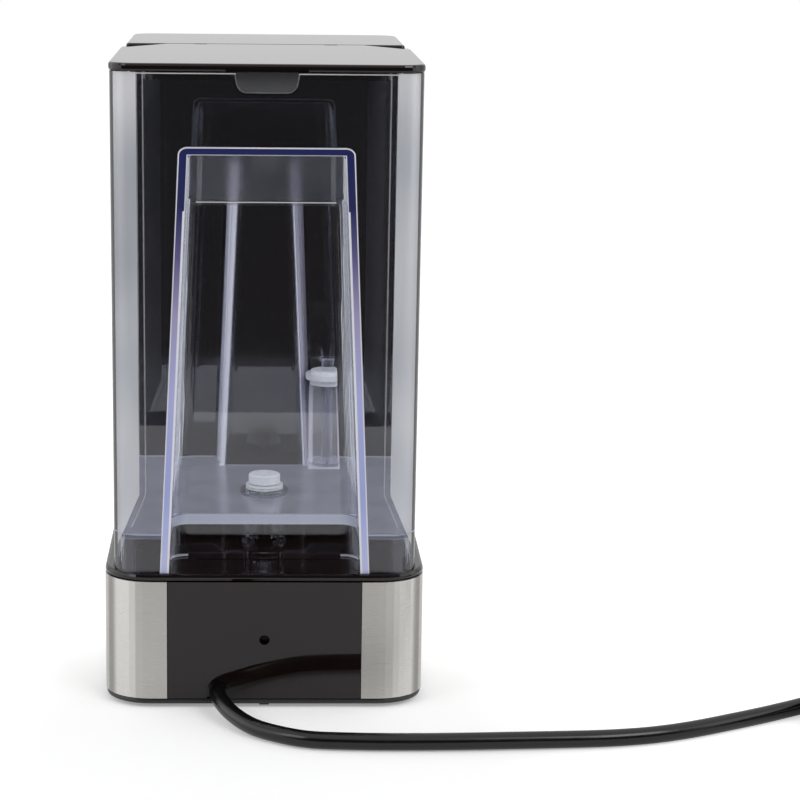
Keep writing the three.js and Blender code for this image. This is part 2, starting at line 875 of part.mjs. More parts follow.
// The finger niche as a solid, grown by its back, side and roof walls: it narrows upwards under a sloping
// ceiling
function nicheSolid(wall, sideWall, roofWall) {
  const footHalf = nicheBottomWidth / 2 + sideWall;
  const topHalf = nicheTopWidth / 2 + sideWall;
  const front = tankRear - nicheDepth - wall;
  const mouth = tankRear + nicheCorner + overrun;
  const low = tankBottom - nicheMouthTop / 2;
  const slope = (nicheMouthTop - nicheInnerTop) / nicheDepth;
  const plan = roundedOutline(-footHalf, footHalf, front, mouth + nicheCorner, nicheCorner + wall);
  const shaft = raised(plan, low, nicheMouthTop + tankWall + nicheDepth, 0, tankCornerSteps);
  const roofTop = nicheMouthTop + roofWall;
  const face = roundedOutline(-footHalf, footHalf, low, roofTop, nicheTopCorner + sideWall);
  const roofed = raised(face, front - overrun, mouth, 0, tankCornerSteps);
  roofed.applyMatrix4(
    new THREE.Matrix4().set(1, 0, 0, 0, 0, 0, 1, 0, 0, 1, slope, -slope * tankRear, 0, 0, 0, 1),
  );
  const mirrored = roofed.attributes.position;
  for (let i = 0; i < mirrored.count; i++) mirrored.setX(i, -mirrored.getX(i));
  return solidOf(tapered(shaft, footHalf, topHalf, nicheMouthTop)).intersect(
    solidOf(tapered(roofed, footHalf, topHalf, nicheMouthTop)),
  );
}

// The thumb groove in the front wall as a solid, grown by a wall
function grooveSolid(wall) {
  const half = grooveBottomWidth / 2 + wall;
  const mouthHalf = grooveMouthBottomWidth / 2 + wall;
  const tip = tankFront + grooveDepth + wall;
  const mouth = tankFront - nicheCorner;
  const round = grooveRound + wall;
  const section = new THREE.Shape();
  section.moveTo(-mouthHalf, mouth);
  section.lineTo(mouthHalf, mouth);
  section.lineTo(mouthHalf, tankFront);
  section.lineTo(half, tip - round);
  section.quadraticCurveTo(half, tip, half - round, tip);
  section.lineTo(round - half, tip);
  section.quadraticCurveTo(-half, tip, -half, tip - round);
  section.lineTo(-mouthHalf, tankFront);
  const geometry = raised(section, tankBottom - overrun, grooveTop + wall, 0, tankCornerSteps);
  const position = geometry.attributes.position;
  for (let i = 0; i < position.count; i++) {
    const share = (position.getZ(i) - tankBottom) / (grooveTop - tankBottom);
    const atTip = position.getY(i) > tankFront + grooveDepth / 2;
    const narrowing = atTip
      ? (grooveBottomWidth - grooveTopWidth) / 2
      : (grooveMouthBottomWidth - grooveMouthTopWidth) / 2;
    position.setX(i, position.getX(i) - Math.sign(position.getX(i)) * narrowing * share);
  }
  return solidOf(geometry);
}

// The finger pocket under the lid as a solid, grown by a wall
function pocketSolid(wall, top) {
  const upper = pocketTopWidth / 2 + wall;
  const lower = pocketBottomWidth / 2 + wall;
  const low = pocketBottom - wall;
  const corner = pocketCorner + wall;
  const shape = roundedOutline(-upper, upper, low, top + corner, corner);
  const splayed = shape.getPoints(cornerSteps).map((p) => {
    const share = Math.min(1, (p.y - low) / (top - low));
    return [p.x * (lower / upper + (1 - lower / upper) * share), Math.min(p.y, top)];
  });
  return facing(outlineOf(splayed), tankRear - pocketDepth - wall, tankRear + bodyCorner / 4);
}

function portSolid() {
  const pipe = ring(0, valveY, portInner, portOuter, tankBottom + portFoot, tankFloorBottom + tankWall / 2);
  const seatFoot = tankFloorTop - tankWall / 2;
  const seat = ring(0, valveY, seatBore, seatRingInner + overrun / 2, seatFoot, seatLevel);
  const seatRing = ring(0, valveY, seatRingInner, seatRingOuter, seatFoot, seatLevel + seatRingHeight);
  return joined(pipe, seat, seatRing);
}

function spiderSolid() {
  const half = spiderBar / 2;
  const reach = seatBore + tankWall / 2;
  const low = tankFloorBottom;
  const high = tankFloorBottom + spiderHeight;
  const hub = cylinder(0, valveY, spiderHub, low, high, smallSides);
  const bar = box(-reach, reach, valveY - half, valveY + half, low, high);
  const cross = box(-half, half, valveY - reach, valveY + reach, low, high);
  const hole = cylinder(0, valveY, stemRadius + fitGap, low - overrun, high + overrun, smallSides);
  return cut(joined(hub, bar, cross), hole);
}

function earSolids() {
  const rootY = lidFront + lidOverhang + tankWall / 2;
  const hole = cylinderAlongX(hingeY, hingeZ, hingePinRadius + shaftGap, -bodyWidth / 2, bodyWidth / 2);
  return [-hingeEarX, hingeEarX].map((x) => {
    const left = x - hingeEarWidth / 2;
    const right = x + hingeEarWidth / 2;
    const eye = cylinderAlongX(hingeY, hingeZ, lidThickness / 2 - shaftGap, left, right);
    const root = box(
      left, right, rootY - tankWall / 2, hingeY + lidThickness / 4, tankTop - tankWall, hingeZ,
    );
    return cut(joined(eye, root), hole);
  });
}

function makeTank() {
  const layer = (inset, bottom, top) => raised(tankOutline(inset), bottom, top, 0, tankCornerSteps);
  const shell = drafted(layer(0, tankBottom, tankTop));
  const inside = drafted(layer(tankWall, tankFloorTop, tankTop + overrun), tankFloorTop);
  const under = drafted(layer(tankWall, tankBottom - overrun, tankFloorBottom), tankFloorBottom);
  const nicheWall = nicheSolid(tankWall, nicheSideWall, nicheRoofWall);
  const grooveWall = grooveSolid(tankWall);
  const pocketShell = pocketSolid(pocketWall, tankTop + 2 * overrun);
  const water = cut(inside, nicheWall, grooveWall, pocketShell);
  const skirtSpace = cut(under, nicheWall, grooveWall);
  const bore = cylinder(0, valveY, seatBore, tankFloorBottom - overrun, tankFloorTop + overrun);
  const hollow = cut(shell, water, skirtSpace, bore);
  const dressed = joined(hollow, portSolid(), spiderSolid(), ...earSolids());
  const pocket = pocketSolid(0, tankTop + overrun);
  const reliefHalf = nicheBottomWidth / 2 - nicheCorner;
  const relief = box(
    -reliefHalf, reliefHalf, tankRear - nicheDepth - 2 * tankWall, tankRear - nicheDepth + tankWall,
    tankBottom - overrun, tankBottom + nicheFootRelief,
  );
  place("tank", cut(dressed, nicheSolid(0, 0, 0), grooveSolid(0), pocket, relief), clearPlastic);
}

// What is taken off the lid's top at a far corner, where it falls away by a little
function cornerDrop(side) {
  const edge = tankTopWidth / 2 + lidOverhang;
  const geometry = new THREE.BoxGeometry(lidDropWidth + overrun, lidDropLength + overrun, lidThickness);
  geometry.translate(
    edge - (lidDropWidth - overrun) / 2, lidFront + (lidDropLength - overrun) / 2, bodyTop + lidThickness / 2,
  );
  const position = geometry.attributes.position;
  for (let i = 0; i < position.count; i++) {
    const across = (position.getX(i) - edge + lidDropWidth) / lidDropWidth;
    const along = (position.getY(i) - lidFront) / lidDropLength;
    position.setZ(i, position.getZ(i) - lidDrop * (across - along));
  }
  const wedge = solidOf(geometry);
  return side > 0 ? wedge : wedge.mirror([1, 0, 0]);
}

function makeTankLid() {
  const half = tankTopWidth / 2 + lidOverhang;
  const outline = roundedOutline(-half, half, lidFront, lidRear, lidFrontCorner, lidRearCorner);
  const plate = upright(outline, lidBottom, bodyTop, coverEdge);
  const wall = tankWall + slideGap;
  const lipHalf = lidLipWidth / 2;
  const lipFront = lidFront + lidOverhang + wall;
  const lipRear = lidRear - lidOverhang - wall;
  const lipOutline = (inset) =>
    roundedOutline(
      -lipHalf + inset, lipHalf - inset, lipFront + inset, lipRear - inset,
      lidThickness - inset, lidRearCorner - wall - inset,
    );
  const lip = cut(
    upright(lipOutline(0), lidBottom - lidLipHeight, lidBottom + lidThickness / 2),
    upright(lipOutline(lidLipWall), lidBottom - lidLipHeight - overrun, lidBottom + lidThickness),
  );
  const pocketHalf = pocketTopWidth / 2 + pocketWall + slideGap;
  const lipGap = box(
    -pocketHalf, pocketHalf, lipRear - pocketDepth - lidLipWall, lipRear + overrun,
    lidBottom - lidLipHeight - overrun, lidBottom,
  );
  const barrel = cylinderAlongX(
    hingeY, hingeZ, lidThickness / 2, -half + lidFrontCorner, half - lidFrontCorner,
  );
  const frontTrim = box(
    -half - overrun, half + overrun, lidFront - overrun, hingeY, lidBottom - overrun, bodyTop + overrun,
  );
  const slotHalf = hingeEarWidth / 2 + slideGap;
  const slots = [-hingeEarX, hingeEarX].map((x) =>
    box(
      x - slotHalf, x + slotHalf, lidFront - overrun, lidFront + hingeSlotReach,
      lidBottom - lidLipHeight - overrun, bodyTop + overrun,
    ),
  );
  const pinReach = hingePinLength / 2 + shaftGap;
  const pinHoles = [-hingeEarX, hingeEarX].map((x) =>
    cylinderAlongX(hingeY, hingeZ, hingePinRadius + shaftGap, x - pinReach, x + pinReach),
  );
  const notchHalf = lidNotchWidth / 2;
  const notch = box(
    -notchHalf, notchHalf, lidRear - lidNotchDepth, lidRear + overrun,
    lidBottom - overrun, lidBottom + lidNotchHeight,
  );
  const body = joined(cut(plate, frontTrim), cut(lip, lipGap), barrel);
  const lid = cut(body, ...slots, ...pinHoles, notch, cornerDrop(1), cornerDrop(-1));
  place("tank_lid", lid, blackGloss);
}

function makeHingePins() {
  const names = ["lid_pin_left", "lid_pin_right"];
  [-hingeEarX, hingeEarX].forEach((x, i) => {
    const pin = cylinderAlongX(
      hingeY, hingeZ, hingePinRadius, x - hingePinLength / 2, x + hingePinLength / 2,
    );
    place(names[i], pin, steel);
  });
}

// Valve in the tank's floor

function makeValvePlug() {
  const neckBottom = flangeBottom + flangeThickness;
  const capBottom = neckBottom + neckHeight;
  const capTop = capBottom + capHeight;
  const grooveLow = stemFoot + clipRise;
  const grooveHigh = grooveLow + clipThickness + 2 * fitGap;
  const plug = turned(0, valveY, [
    [0, stemFoot],
    [stemRadius, stemFoot],
    [stemRadius, grooveLow],
    [stemRadius - clipGroove, grooveLow],
    [stemRadius - clipGroove, grooveHigh],
    [stemRadius, grooveHigh],
    [stemRadius, flangeBottom],
    [flangeRadius, flangeBottom],
    [flangeRadius, neckBottom],
    [neckRadius, neckBottom],
    [neckRadius, capBottom],
    [capRadius, capBottom],
    [capRadius, capTop - capBevel],
    [capRadius - capBevel, capTop],
    [0, capTop],
  ]);
  place("valve_plug", plug, whitePlastic);
}

function makeValveSeal() {
  const top = flangeBottom - fitGap;
  place("valve_seal", ring(0, valveY, sealInner, flangeRadius, top - sealThickness, top), silicone);
}

function makeValveClip() {
  const low = stemFoot + clipRise + fitGap;
  const clip = ring(
    0, valveY, stemRadius - clipGroove + shaftGap, clipRadius, low, low + clipThickness, smallSides,
  );
  place("valve_clip", clip, steel);
}

function makeValveSpring() {
  const low = stemFoot + clipRise + clipThickness + 2 * fitGap + springWire;
  const high = tankFloorBottom - fitGap - springWire;
  const count = springTurns * springStepsPerTurn;
  const points = [];
  for (let i = 0; i <= count; i++) {
    const angle = (2 * Math.PI * i) / springStepsPerTurn;
    const height = low + ((high - low) * i) / count;
    points.push([springRadius * Math.cos(angle), valveY + springRadius * Math.sin(angle), height]);
  }
  const curlGap = (high - low) / springTurns - 2 * springWire;
  console.log("valve spring, gap between curls: " + curlGap.toFixed(2) + " mm");
  place("valve_spring", tubeAlong(points, springWire, springSides, count), steel);
}

// Float and its guide

function makeFloatGuide() {
  const low = guideFoot;
  const finsLow = low + guideBaseHeight;
  const foot = cylinder(floatX, floatY, guideRadius, low, finsLow);
  const half = guideFin / 2;
  const fin = box(
    floatX - guideRadius, floatX + guideRadius, floatY - half, floatY + half, finsLow - overrun, floatRest,
  );
  const crossFin = box(
    floatX - half, floatX + half, floatY - guideRadius, floatY + guideRadius, finsLow - overrun, floatRest,
  );
  const stemTop = floatRest + fitGap + floatHeight + floatTravel + fitGap + floatCapHeight;
  const stem = cylinder(floatX, floatY, floatStemRadius, finsLow, stemTop, smallSides);
  place("float_guide", joined(foot, fin, crossFin, stem), clearPlastic);
}

function makeFloat() {
  const low = floatRest + fitGap;
  const bore = floatStemRadius + slideGap;
  const pocketTop = low + magnetHeight + 2 * fitGap;
  const flangeLow = low + floatFlangeBottom;
  const flangeHigh = flangeLow + floatFlangeHeight;
  const body = turned(floatX, floatY, [
    [bore, low],
    [magnetInner - fitGap, low],
    [magnetInner - fitGap, pocketTop],
    [magnetOuter + fitGap, pocketTop],
    [magnetOuter + fitGap, low],
    [floatRadius, low],
    [floatRadius, flangeLow],
    [floatFlangeRadius, flangeLow],
    [floatFlangeRadius, flangeHigh],
    [floatRadius, flangeHigh],
    [floatRadius - capBevel, low + floatHeight],
    [bore, low + floatHeight],
    [bore, low],
  ]);
  place("float", body, whitePlastic);
}

function makeFloatMagnet() {
  const low = floatRest + 2 * fitGap;
  place("float_magnet", ring(floatX, floatY, magnetInner, magnetOuter, low, low + magnetHeight), greySatin);
}

function makeFloatCap() {
  const low = floatRest + fitGap + floatHeight + floatTravel + fitGap;
  const cap = ring(
    floatX, floatY, floatStemRadius + fitGap, floatCapRadius, low, low + floatCapHeight, smallSides,
  );
  place("float_cap", cap, clearPlastic);
}

// Tower and what stands in it

function makeTowerBack() {
  const half = towerWidth / 2;
  const wall = box(-half, half, towerBackFront, towerRear, towerBottom, tankTop);
  place("tower_back", wall, blackGloss);
}

function makeTowerShell() {
  const half = towerWidth / 2;
  const outer = roundedOutline(-half, half, towerFront, columnRear + towerCorner, towerCorner);
  const inner = roundedOutline(
    -half + shellWall, half - shellWall, towerFront + shellWall,
    columnRear + 2 * towerCorner, towerCorner - shellWall,
  );
  const open = box(
    -half - overrun, half + overrun, columnRear, columnRear + 3 * towerCorner,
    towerBottom - overrun, columnTop + overrun,
  );
  const shell = cut(
    upright(outer, towerBottom, columnTop),
    upright(inner, towerBottom - overrun, columnTop + overrun),
    open,
  );
  place("tower_shell", shell, blackSatin);
}

function makeHeater() {
  const top = heaterBottom + heaterLength;
  const pitch = heaterLength / (heaterGrooves + 1);
  const profile = [[0, heaterBottom - heaterNipple], [heaterNippleRadius, heaterBottom - heaterNipple]];
  profile.push([heaterNippleRadius, heaterBottom], [heaterRadius, heaterBottom]);
  for (let i = 1; i <= heaterGrooves; i++) {
    const middle = heaterBottom + pitch * i;
    profile.push([heaterRadius, middle - heaterGrooveWidth / 2]);
    profile.push([heaterRadius - heaterGrooveDepth, middle - heaterGrooveWidth / 2]);
    profile.push([heaterRadius - heaterGrooveDepth, middle + heaterGrooveWidth / 2]);
    profile.push([heaterRadius, middle + heaterGrooveWidth / 2]);
  }
  profile.push(
    [heaterRadius, top], [heaterNippleRadius, top],
    [heaterNippleRadius, top + heaterNipple], [0, top + heaterNipple],
  );
  place("heater", turned(0, heaterY, profile), aluminium);
}

function makeHeaterClamps() {
  const names = ["heater_clamp_lower", "heater_clamp_upper"];
  const inner = heaterRadius + fitGap;
  const lugHalf = clampLugWidth / 2;
  clampStations.forEach((share, i) => {
    const low = heaterBottom + share * heaterLength - clampHeight / 2;
    const high = low + clampHeight;
    const lug = box(-lugHalf, lugHalf, heaterY + inner, columnRear, low, high);
    const bore = cylinder(0, heaterY, inner, low - overrun, high + overrun);
    place(names[i], joined(ring(0, heaterY, inner, inner + clampWall, low, high), cut(lug, bore)), steel);
  });
}

function makeThermostat() {
  const z = heaterBottom + heaterLength / 2;
  const left = heaterRadius + fitGap;
  const body = cylinderAlongX(heaterY, z, thermostatRadius, left, left + thermostatHeight);
  place("thermostat", body, blackSatin);
}

function makeLevelSensor() {
  const half = sensorWidth / 2;
  const low = floatRest - sensorHeight / 2;
  const body = box(
    floatX - half, floatX + half, columnRear - sensorDepth, columnRear, low, low + sensorHeight,
  );
  place("level_sensor", body, boardGreen);
}

// Head

function makeHeadShell() {
  const half = towerWidth / 2;
  const rear = columnRear;
  const outer = roundedOutline(-half, half, headFront, rear + headCorner, headCorner);
  const inner = roundedOutline(
    -half + shellWall, half - shellWall, headFront + shellWall, rear + 2 * headCorner, headCorner - shellWall,
  );
  const behind = box(
    -half - overrun, half + overrun, rear, rear + 3 * headCorner, headBottom - overrun, tankTop + overrun,
  );
  const columnHole = box(
    -half + 2 * shellWall, half - 2 * shellWall, towerFront + shellWall,
    rear + overrun, headBottom - overrun, headBottom + 2 * shellWall,
  );
  const spoutHole = cylinder(
    0, spoutY, spoutNeckRadius + fitGap, headBottom - overrun, headBottom + 2 * shellWall,
  );
  const windowHalf = panelWidth / 2 + fitGap;
  const window = facing(
    roundedOutline(-windowHalf, windowHalf, panelBottom - fitGap, panelTop + fitGap, panelCorner + fitGap),
    headFront - overrun, headFront + shellWall + overrun,
  );
  const shell = cut(
    upright(outer, headBottom, tankTop),
    upright(inner, headBottom + shellWall, tankTop + overrun),
    behind, columnHole, spoutHole, window,
  );
  place("head_shell", shell, blackSatin);
}

function makeHeadCover() {
  const half = towerWidth / 2 + lidOverhang;
  const outline = roundedOutline(
    -half, half, headFront - lidOverhang, towerRear + fitGap, headCorner, lidFrontCorner,
  );
  const plate = upright(outline, lidBottom, bodyTop, coverEdge);
  const wall = shellWall + fitGap;
  const lipHalf = towerWidth / 2 - wall;
  const lipOutline = (inset) =>
    roundedOutline(
      -lipHalf + inset, lipHalf - inset, headFront + wall + inset, towerBackFront - fitGap - inset,
      headCorner - wall - inset, lidFrontCorner,
    );
  const lip = cut(
    upright(lipOutline(0), lidBottom - coverLip, lidBottom + lidThickness / 2),
    upright(lipOutline(lidLipWall), lidBottom - coverLip - overrun, lidBottom + lidThickness),
  );
  place("head_cover", joined(plate, lip), blackGloss);
}

function makeSpout() {
  const collarTop = headBottom - fitGap;
  const collarBottom = collarTop - spoutCollarDrop;
  const spout = turned(0, spoutY, [
    [spoutBore, spoutTip],
    [spoutTipRadius, spoutTip],
    [spoutTipRadius, collarBottom],
    [spoutCollarRadius, collarBottom + spoutCollarRadius - spoutTipRadius],
    [spoutCollarRadius, collarTop],
    [spoutNeckRadius, collarTop],
    [spoutNeckRadius, spoutNeckTop],
    [spoutNippleRadius, spoutNeckTop],
    [spoutNippleRadius, spoutNippleTop],
    [spoutBore, spoutNippleTop],
    [spoutBore, spoutTip],
  ]);
  place("spout", spout, blackSatin);
}

function makeSpoutNut() {
  const low = headBottom + shellWall + fitGap;
  place(
    "spout_nut", ring(0, spoutY, spoutNeckRadius + fitGap, spoutNutRadius, low, low + spoutNutHeight),
    whitePlastic,
  );
}

// Controls

function slotOutline(width, height, x, z) {
  return roundedOutline(x - width / 2, x + width / 2, z - height / 2, z + height / 2, height / 2);
}

function makeControlPanel() {
  const half = panelWidth / 2;
  const back = headFront + panelPlate;
  const plate = facing(roundedOutline(-half, half, panelBottom, panelTop, panelCorner), headFront, back);
  const dishBack = headFront + knobDishDepth;
  const dish = cylinderAlongY(
    0, knobHeight, knobDishRadius + knobDishWall, headFront + panelPlate / 2, dishBack + knobDishWall,
  );
  const dishSpace = cylinderAlongY(0, knobHeight, knobDishRadius, headFront - overrun, dishBack);
  const shaftHole = cylinderAlongY(
    0, knobHeight, knobShaftRadius + fitGap, dishBack - overrun, dishBack + 2 * knobDishWall, smallSides,
  );
  const startHole = facing(
    slotOutline(startWidth, startHeight, 0, startZ), headFront - overrun, back + overrun,
  );
  const lockHole = cylinderAlongY(lockX, startZ, lockRadius, headFront - overrun, back + overrun);
  const boardFront = controlBoardY - boardThickness;
  const standX = half - controlBoardMargin / 2 - standoffRadius;
  const standoffs = [];
  for (const x of [-standX, standX]) {
    for (const z of [panelBottom + panelCorner / 2, panelTop - panelCorner / 2 - standoffRadius]) {
      standoffs.push(
        cylinderAlongY(x, z, standoffRadius, back - panelPlate / 2, boardFront - fitGap, smallSides),
      );
    }
  }
  const whole = joined(plate, dish, ...standoffs);
  place("control_panel", cut(whole, dishSpace, shaftHole, startHole, lockHole), blackGloss);
}

function makeKnob() {
  const front = bodyFront;
  const rear = front + knobLength;
  const barrel = facing(new THREE.Shape(circlePoints(knobRadius, roundSides)), front, rear, edgeRound);
  const grips = [];
  for (let i = 0; i < knobGrips; i++) {
    const angle = (2 * Math.PI * i) / knobGrips;
    const x = (knobRadius + knobGripRadius / 3) * Math.cos(angle);
    const z = (knobRadius + knobGripRadius / 3) * Math.sin(angle);
    grips.push(cylinderAlongY(x, z, knobGripRadius, front - overrun, rear + overrun, gripSides));
  }
  const bore = cylinderAlongY(
    0, 0, knobShaftRadius + shaftGap, rear - knobBoreDepth, rear + overrun, smallSides,
  );
  const markHalf = knobMarkWidth / 2;
  const mark = box(
    -markHalf, markHalf, front - overrun, front + knobMarkDepth, knobRadius / 2, knobRadius + overrun,
  );
  const knob = cut(barrel, ...grips, bore, mark).translate([0, 0, knobHeight]);
  place("selector_knob", knob, blackSatin);
}

function makeKnobShaft() {
  const front = bodyFront + knobLength - knobBoreDepth + fitGap;
  const shaft = cylinderAlongY(0, knobHeight, knobShaftRadius, front, front + knobShaftLength, smallSides);
  place("knob_shaft", shaft, steel);
}

function makeEncoder() {
  const half = encoderSize / 2;
  const rear = controlBoardY - boardThickness - fitGap;
  const front = rear - encoderDepth;
  const body = box(-half, half, front, rear, knobHeight - half, knobHeight + half);
  const bore = cylinderAlongY(
    0, knobHeight, knobShaftRadius + 2 * shaftGap, front - overrun, front + encoderBore, smallSides,
  );
  place("encoder", cut(body, bore), greySatin);
}

function makeControlBoard() {
  const half = panelWidth / 2 - controlBoardMargin;
  const front = controlBoardY - boardThickness;
  const plate = box(-half, half, front, controlBoardY, panelBottom, panelTop - controlBoardMargin);
  const switches = [0, lockX].map((x) =>
    box(
      x - switchSize / 2, x + switchSize / 2, front - switchHeight, front + boardThickness / 2,
      startZ - switchSize / 2, startZ + switchSize / 2,
    ),
  );
  place("control_board", joined(plate, ...switches), boardGreen);
}

// A pressed cap with a flange behind the panel and a stem that reaches its switch
function pushButton(face, flangeShape, x) {
  const back = headFront + panelPlate;
  const flangeFront = back + fitGap;
  const cap = facing(face, headFront - buttonRise, flangeFront + buttonFlange / 2);
  const flange = facing(flangeShape, flangeFront, flangeFront + buttonFlange);
  const stemRear = controlBoardY - boardThickness - switchHeight - buttonTravel - fitGap;
  const stem = cylinderAlongY(x, startZ, buttonStemRadius, flangeFront, stemRear, smallSides);
  return joined(cap, flange, stem);
}

function makeButtons() {
  const reach = 2 * buttonFlangeReach;
  const startFace = slotOutline(startWidth - 2 * fitGap, startHeight - 2 * fitGap, 0, startZ);
  const startFlange = slotOutline(startWidth + reach, startHeight + reach, 0, startZ);
  place("start_button", pushButton(startFace, startFlange, 0), whitePlastic);
  const lockSize = 2 * lockRadius;
  const lockFace = slotOutline(lockSize - 2 * fitGap, lockSize - 2 * fitGap - shaftGap, lockX, startZ);
  const lockFlange = slotOutline(lockSize + reach, lockSize + reach - shaftGap, lockX, startZ);
  place("lock_button", pushButton(lockFace, lockFlange, lockX), greySatin);
}

// Drip tray

function makeDripTray() {
  const gap = wellWall + slideGap;
  const low = wellFloor + wellWall + fitGap;
  const outer = upright(wellOutline(gap), low, trayTop);
  const seat = upright(wellOutline(gap + trayWall), trayTop - grilleThickness - fitGap, trayTop + overrun);
  const space = upright(wellOutline(gap + trayWall + trayLedge), low + trayFloor, trayTop + overrun);
  place("drip_tray", cut(outer, seat, space), blackSatin);
}

function makeDripGrille() {
  const gap = wellWall + slideGap + trayWall + slideGap;
  const plate = upright(wellOutline(gap), trayTop - grilleThickness, trayTop);
  const half = wellWidth / 2 - gap - grilleSlotMargin;
  const pitch = (2 * half) / (grilleSlots - 1);
  const front = wellFront + gap + grilleSlotMargin;
  const rear = wellRear - gap - grilleSlotMargin;
  const slots = [];
  for (let i = 0; i < grilleSlots; i++) {
    const x = -half + pitch * i;
    const halfSlot = grilleSlotWidth / 2;
    slots.push(
      box(x - halfSlot, x + halfSlot, front, rear, trayTop - grilleThickness - overrun, trayTop + overrun),
    );
  }
  place("drip_grille", cut(plate, ...slots), brushedSteel);
}

// Pump, hoses and leads

function makePump() {
  const motorFront = motorRear - motorLength;
  const can = cylinderAlongY(pumpX, pumpHeight, motorRadius, motorFront, motorRear);
  const endCap = cylinderAlongY(
    pumpX, pumpHeight, motorEndRadius, motorFront - motorEndCap, motorFront + overrun,
  );
  const bore = cylinderAlongY(
    pumpX, pumpHeight, motorBoreRadius + fitGap,
    motorRear - motorBoreDepth, motorRear + overrun, smallSides,
  );
  place("pump_motor", cut(joined(can, endCap), bore), steel);

  const headFace = motorRear + fitGap;
  const headRear = headFace + pumpHeadLength;
  const shell = cylinderAlongY(pumpX, pumpHeight, pumpHeadRadius, headFace, headRear);
  const cavity = cylinderAlongY(
    pumpX, pumpHeight, pumpCavityRadius, headFace - overrun, headFace + pumpCavityDepth,
  );
  const inlet = cylinderAlongY(
    pumpX, pumpHeight, pumpInletRadius, headRear - overrun, headRear + pumpInletLength, smallSides,
  );
  const inletBore = cylinderAlongY(
    pumpX, pumpHeight, pumpInletBore, headFace, headRear + pumpInletLength + overrun, smallSides,
  );
  const outletY = headFace + pumpCavityDepth / 2;
  const outletTop = pumpHeight + pumpHeadRadius + pumpInletLength;
  const outlet = cylinder(
    pumpX, outletY, pumpInletRadius, pumpHeight + pumpCavityRadius, outletTop, smallSides,
  );
  const outletBore = cylinder(pumpX, outletY, pumpInletBore, pumpHeight, outletTop + overrun, smallSides);
  place("pump_head", cut(joined(shell, inlet, outlet), cavity, inletBore, outletBore), blackSatin);

  const discFront = headFace + fitGap;
  const disc = cylinderAlongY(pumpX, pumpHeight, impellerRadius, discFront, discFront + impellerDisc);
  const hub = cylinderAlongY(
    pumpX, pumpHeight, impellerHub, discFront, discFront + impellerVaneHeight, smallSides,
  );
  const shaftFront = motorRear - motorBoreDepth + fitGap;
  const shaft = cylinderAlongY(
    pumpX, pumpHeight, motorBoreRadius, shaftFront, discFront + overrun, smallSides,
  );
  const vanes = [];
  for (let i = 0; i < impellerVanes; i++) {
    const angle = (2 * Math.PI * i) / impellerVanes;
    const half = impellerVaneThickness / 2;
    const vane = box(
      impellerHub / 2, impellerRadius - overrun, discFront, discFront + impellerVaneHeight, -half, half,
    );
    vanes.push(vane.rotate([0, (angle * 180) / Math.PI, 0]).translate([pumpX, 0, pumpHeight]));
  }
  place("pump_impeller", joined(disc, hub, shaft, ...vanes), whitePlastic);
}

function makeHoses() {
  const headRear = motorRear + fitGap + pumpHeadLength + pumpInletLength + fitGap;
  const drain = drainFoot - fitGap;
  const inlet = [
    [0, valveY, drain],
    [0, valveY, drain - hoseRadius],
    [0, valveY + 1.5 * hoseRadius, drain - 3.5 * hoseRadius],
    [-1.5 * hoseRadius, valveY + 4 * hoseRadius, drain - 5.5 * hoseRadius],
    [pumpX / 2, headRear + 5 * hoseRadius, pumpHeight],
    [pumpX + 1.5 * hoseRadius, headRear + 4 * hoseRadius, pumpHeight],
    [pumpX, headRear + hoseRadius, pumpHeight],
    [pumpX, headRear, pumpHeight],
  ];
  place("inlet_hose", tubeAlong(inlet, hoseRadius, hoseSides, hoseSteps, hoseBore), silicone);

  const outletY = motorRear + fitGap + pumpCavityDepth / 2;
  const outletTop = pumpHeight + pumpHeadRadius + pumpInletLength + fitGap;
  const heaterFoot = heaterBottom - heaterNipple - fitGap;
  const riser = [
    [pumpX, outletY, outletTop],
    [pumpX, outletY, outletTop + hoseRadius / 2],
    [pumpX + hoseRadius / 4, outletY - 2.25 * hoseRadius, outletTop + 2 * hoseRadius],
    [pumpX + 2.5 * hoseRadius, outletY - 7.2 * hoseRadius, outletTop + 2.25 * hoseRadius],
    [-4.5 * hoseRadius, heaterY + 9 * hoseRadius, outletTop + 2.25 * hoseRadius],
    [-1.5 * hoseRadius, heaterY + 3 * hoseRadius, outletTop + 2.5 * hoseRadius],
    [0, heaterY + hoseRadius / 4, outletTop + 4.5 * hoseRadius],
    [0, heaterY, heaterFoot - hoseRadius],
    [0, heaterY, heaterFoot],
  ];
  place("riser_hose", tubeAlong(riser, hoseRadius, hoseSides, hoseSteps, hoseBore), silicone);

  const heaterHead = heaterBottom + heaterLength + heaterNipple + fitGap;
  const spoutInlet = spoutNippleTop + fitGap;
  const outlet = [
    [0, heaterY, heaterHead],
    [0, heaterY, heaterHead + hoseRadius],
    [0, heaterY - hoseRadius / 4, heaterHead + 6.5 * hoseRadius],
    [0, heaterY - 2 * hoseRadius, heaterHead + 11.5 * hoseRadius],
    [0, heaterY - 6 * hoseRadius, heaterHead + 14.5 * hoseRadius],
    [0, spoutY + 2.5 * hoseRadius, heaterHead + 14.5 * hoseRadius],
    [0, spoutY, spoutInlet + 2 * hoseRadius],
    [0, spoutY, spoutInlet + hoseRadius / 2],
    [0, spoutY, spoutInlet],
  ];
  place("outlet_hose", tubeAlong(outlet, hoseRadius, hoseSides, hoseSteps, hoseBore), silicone);
}

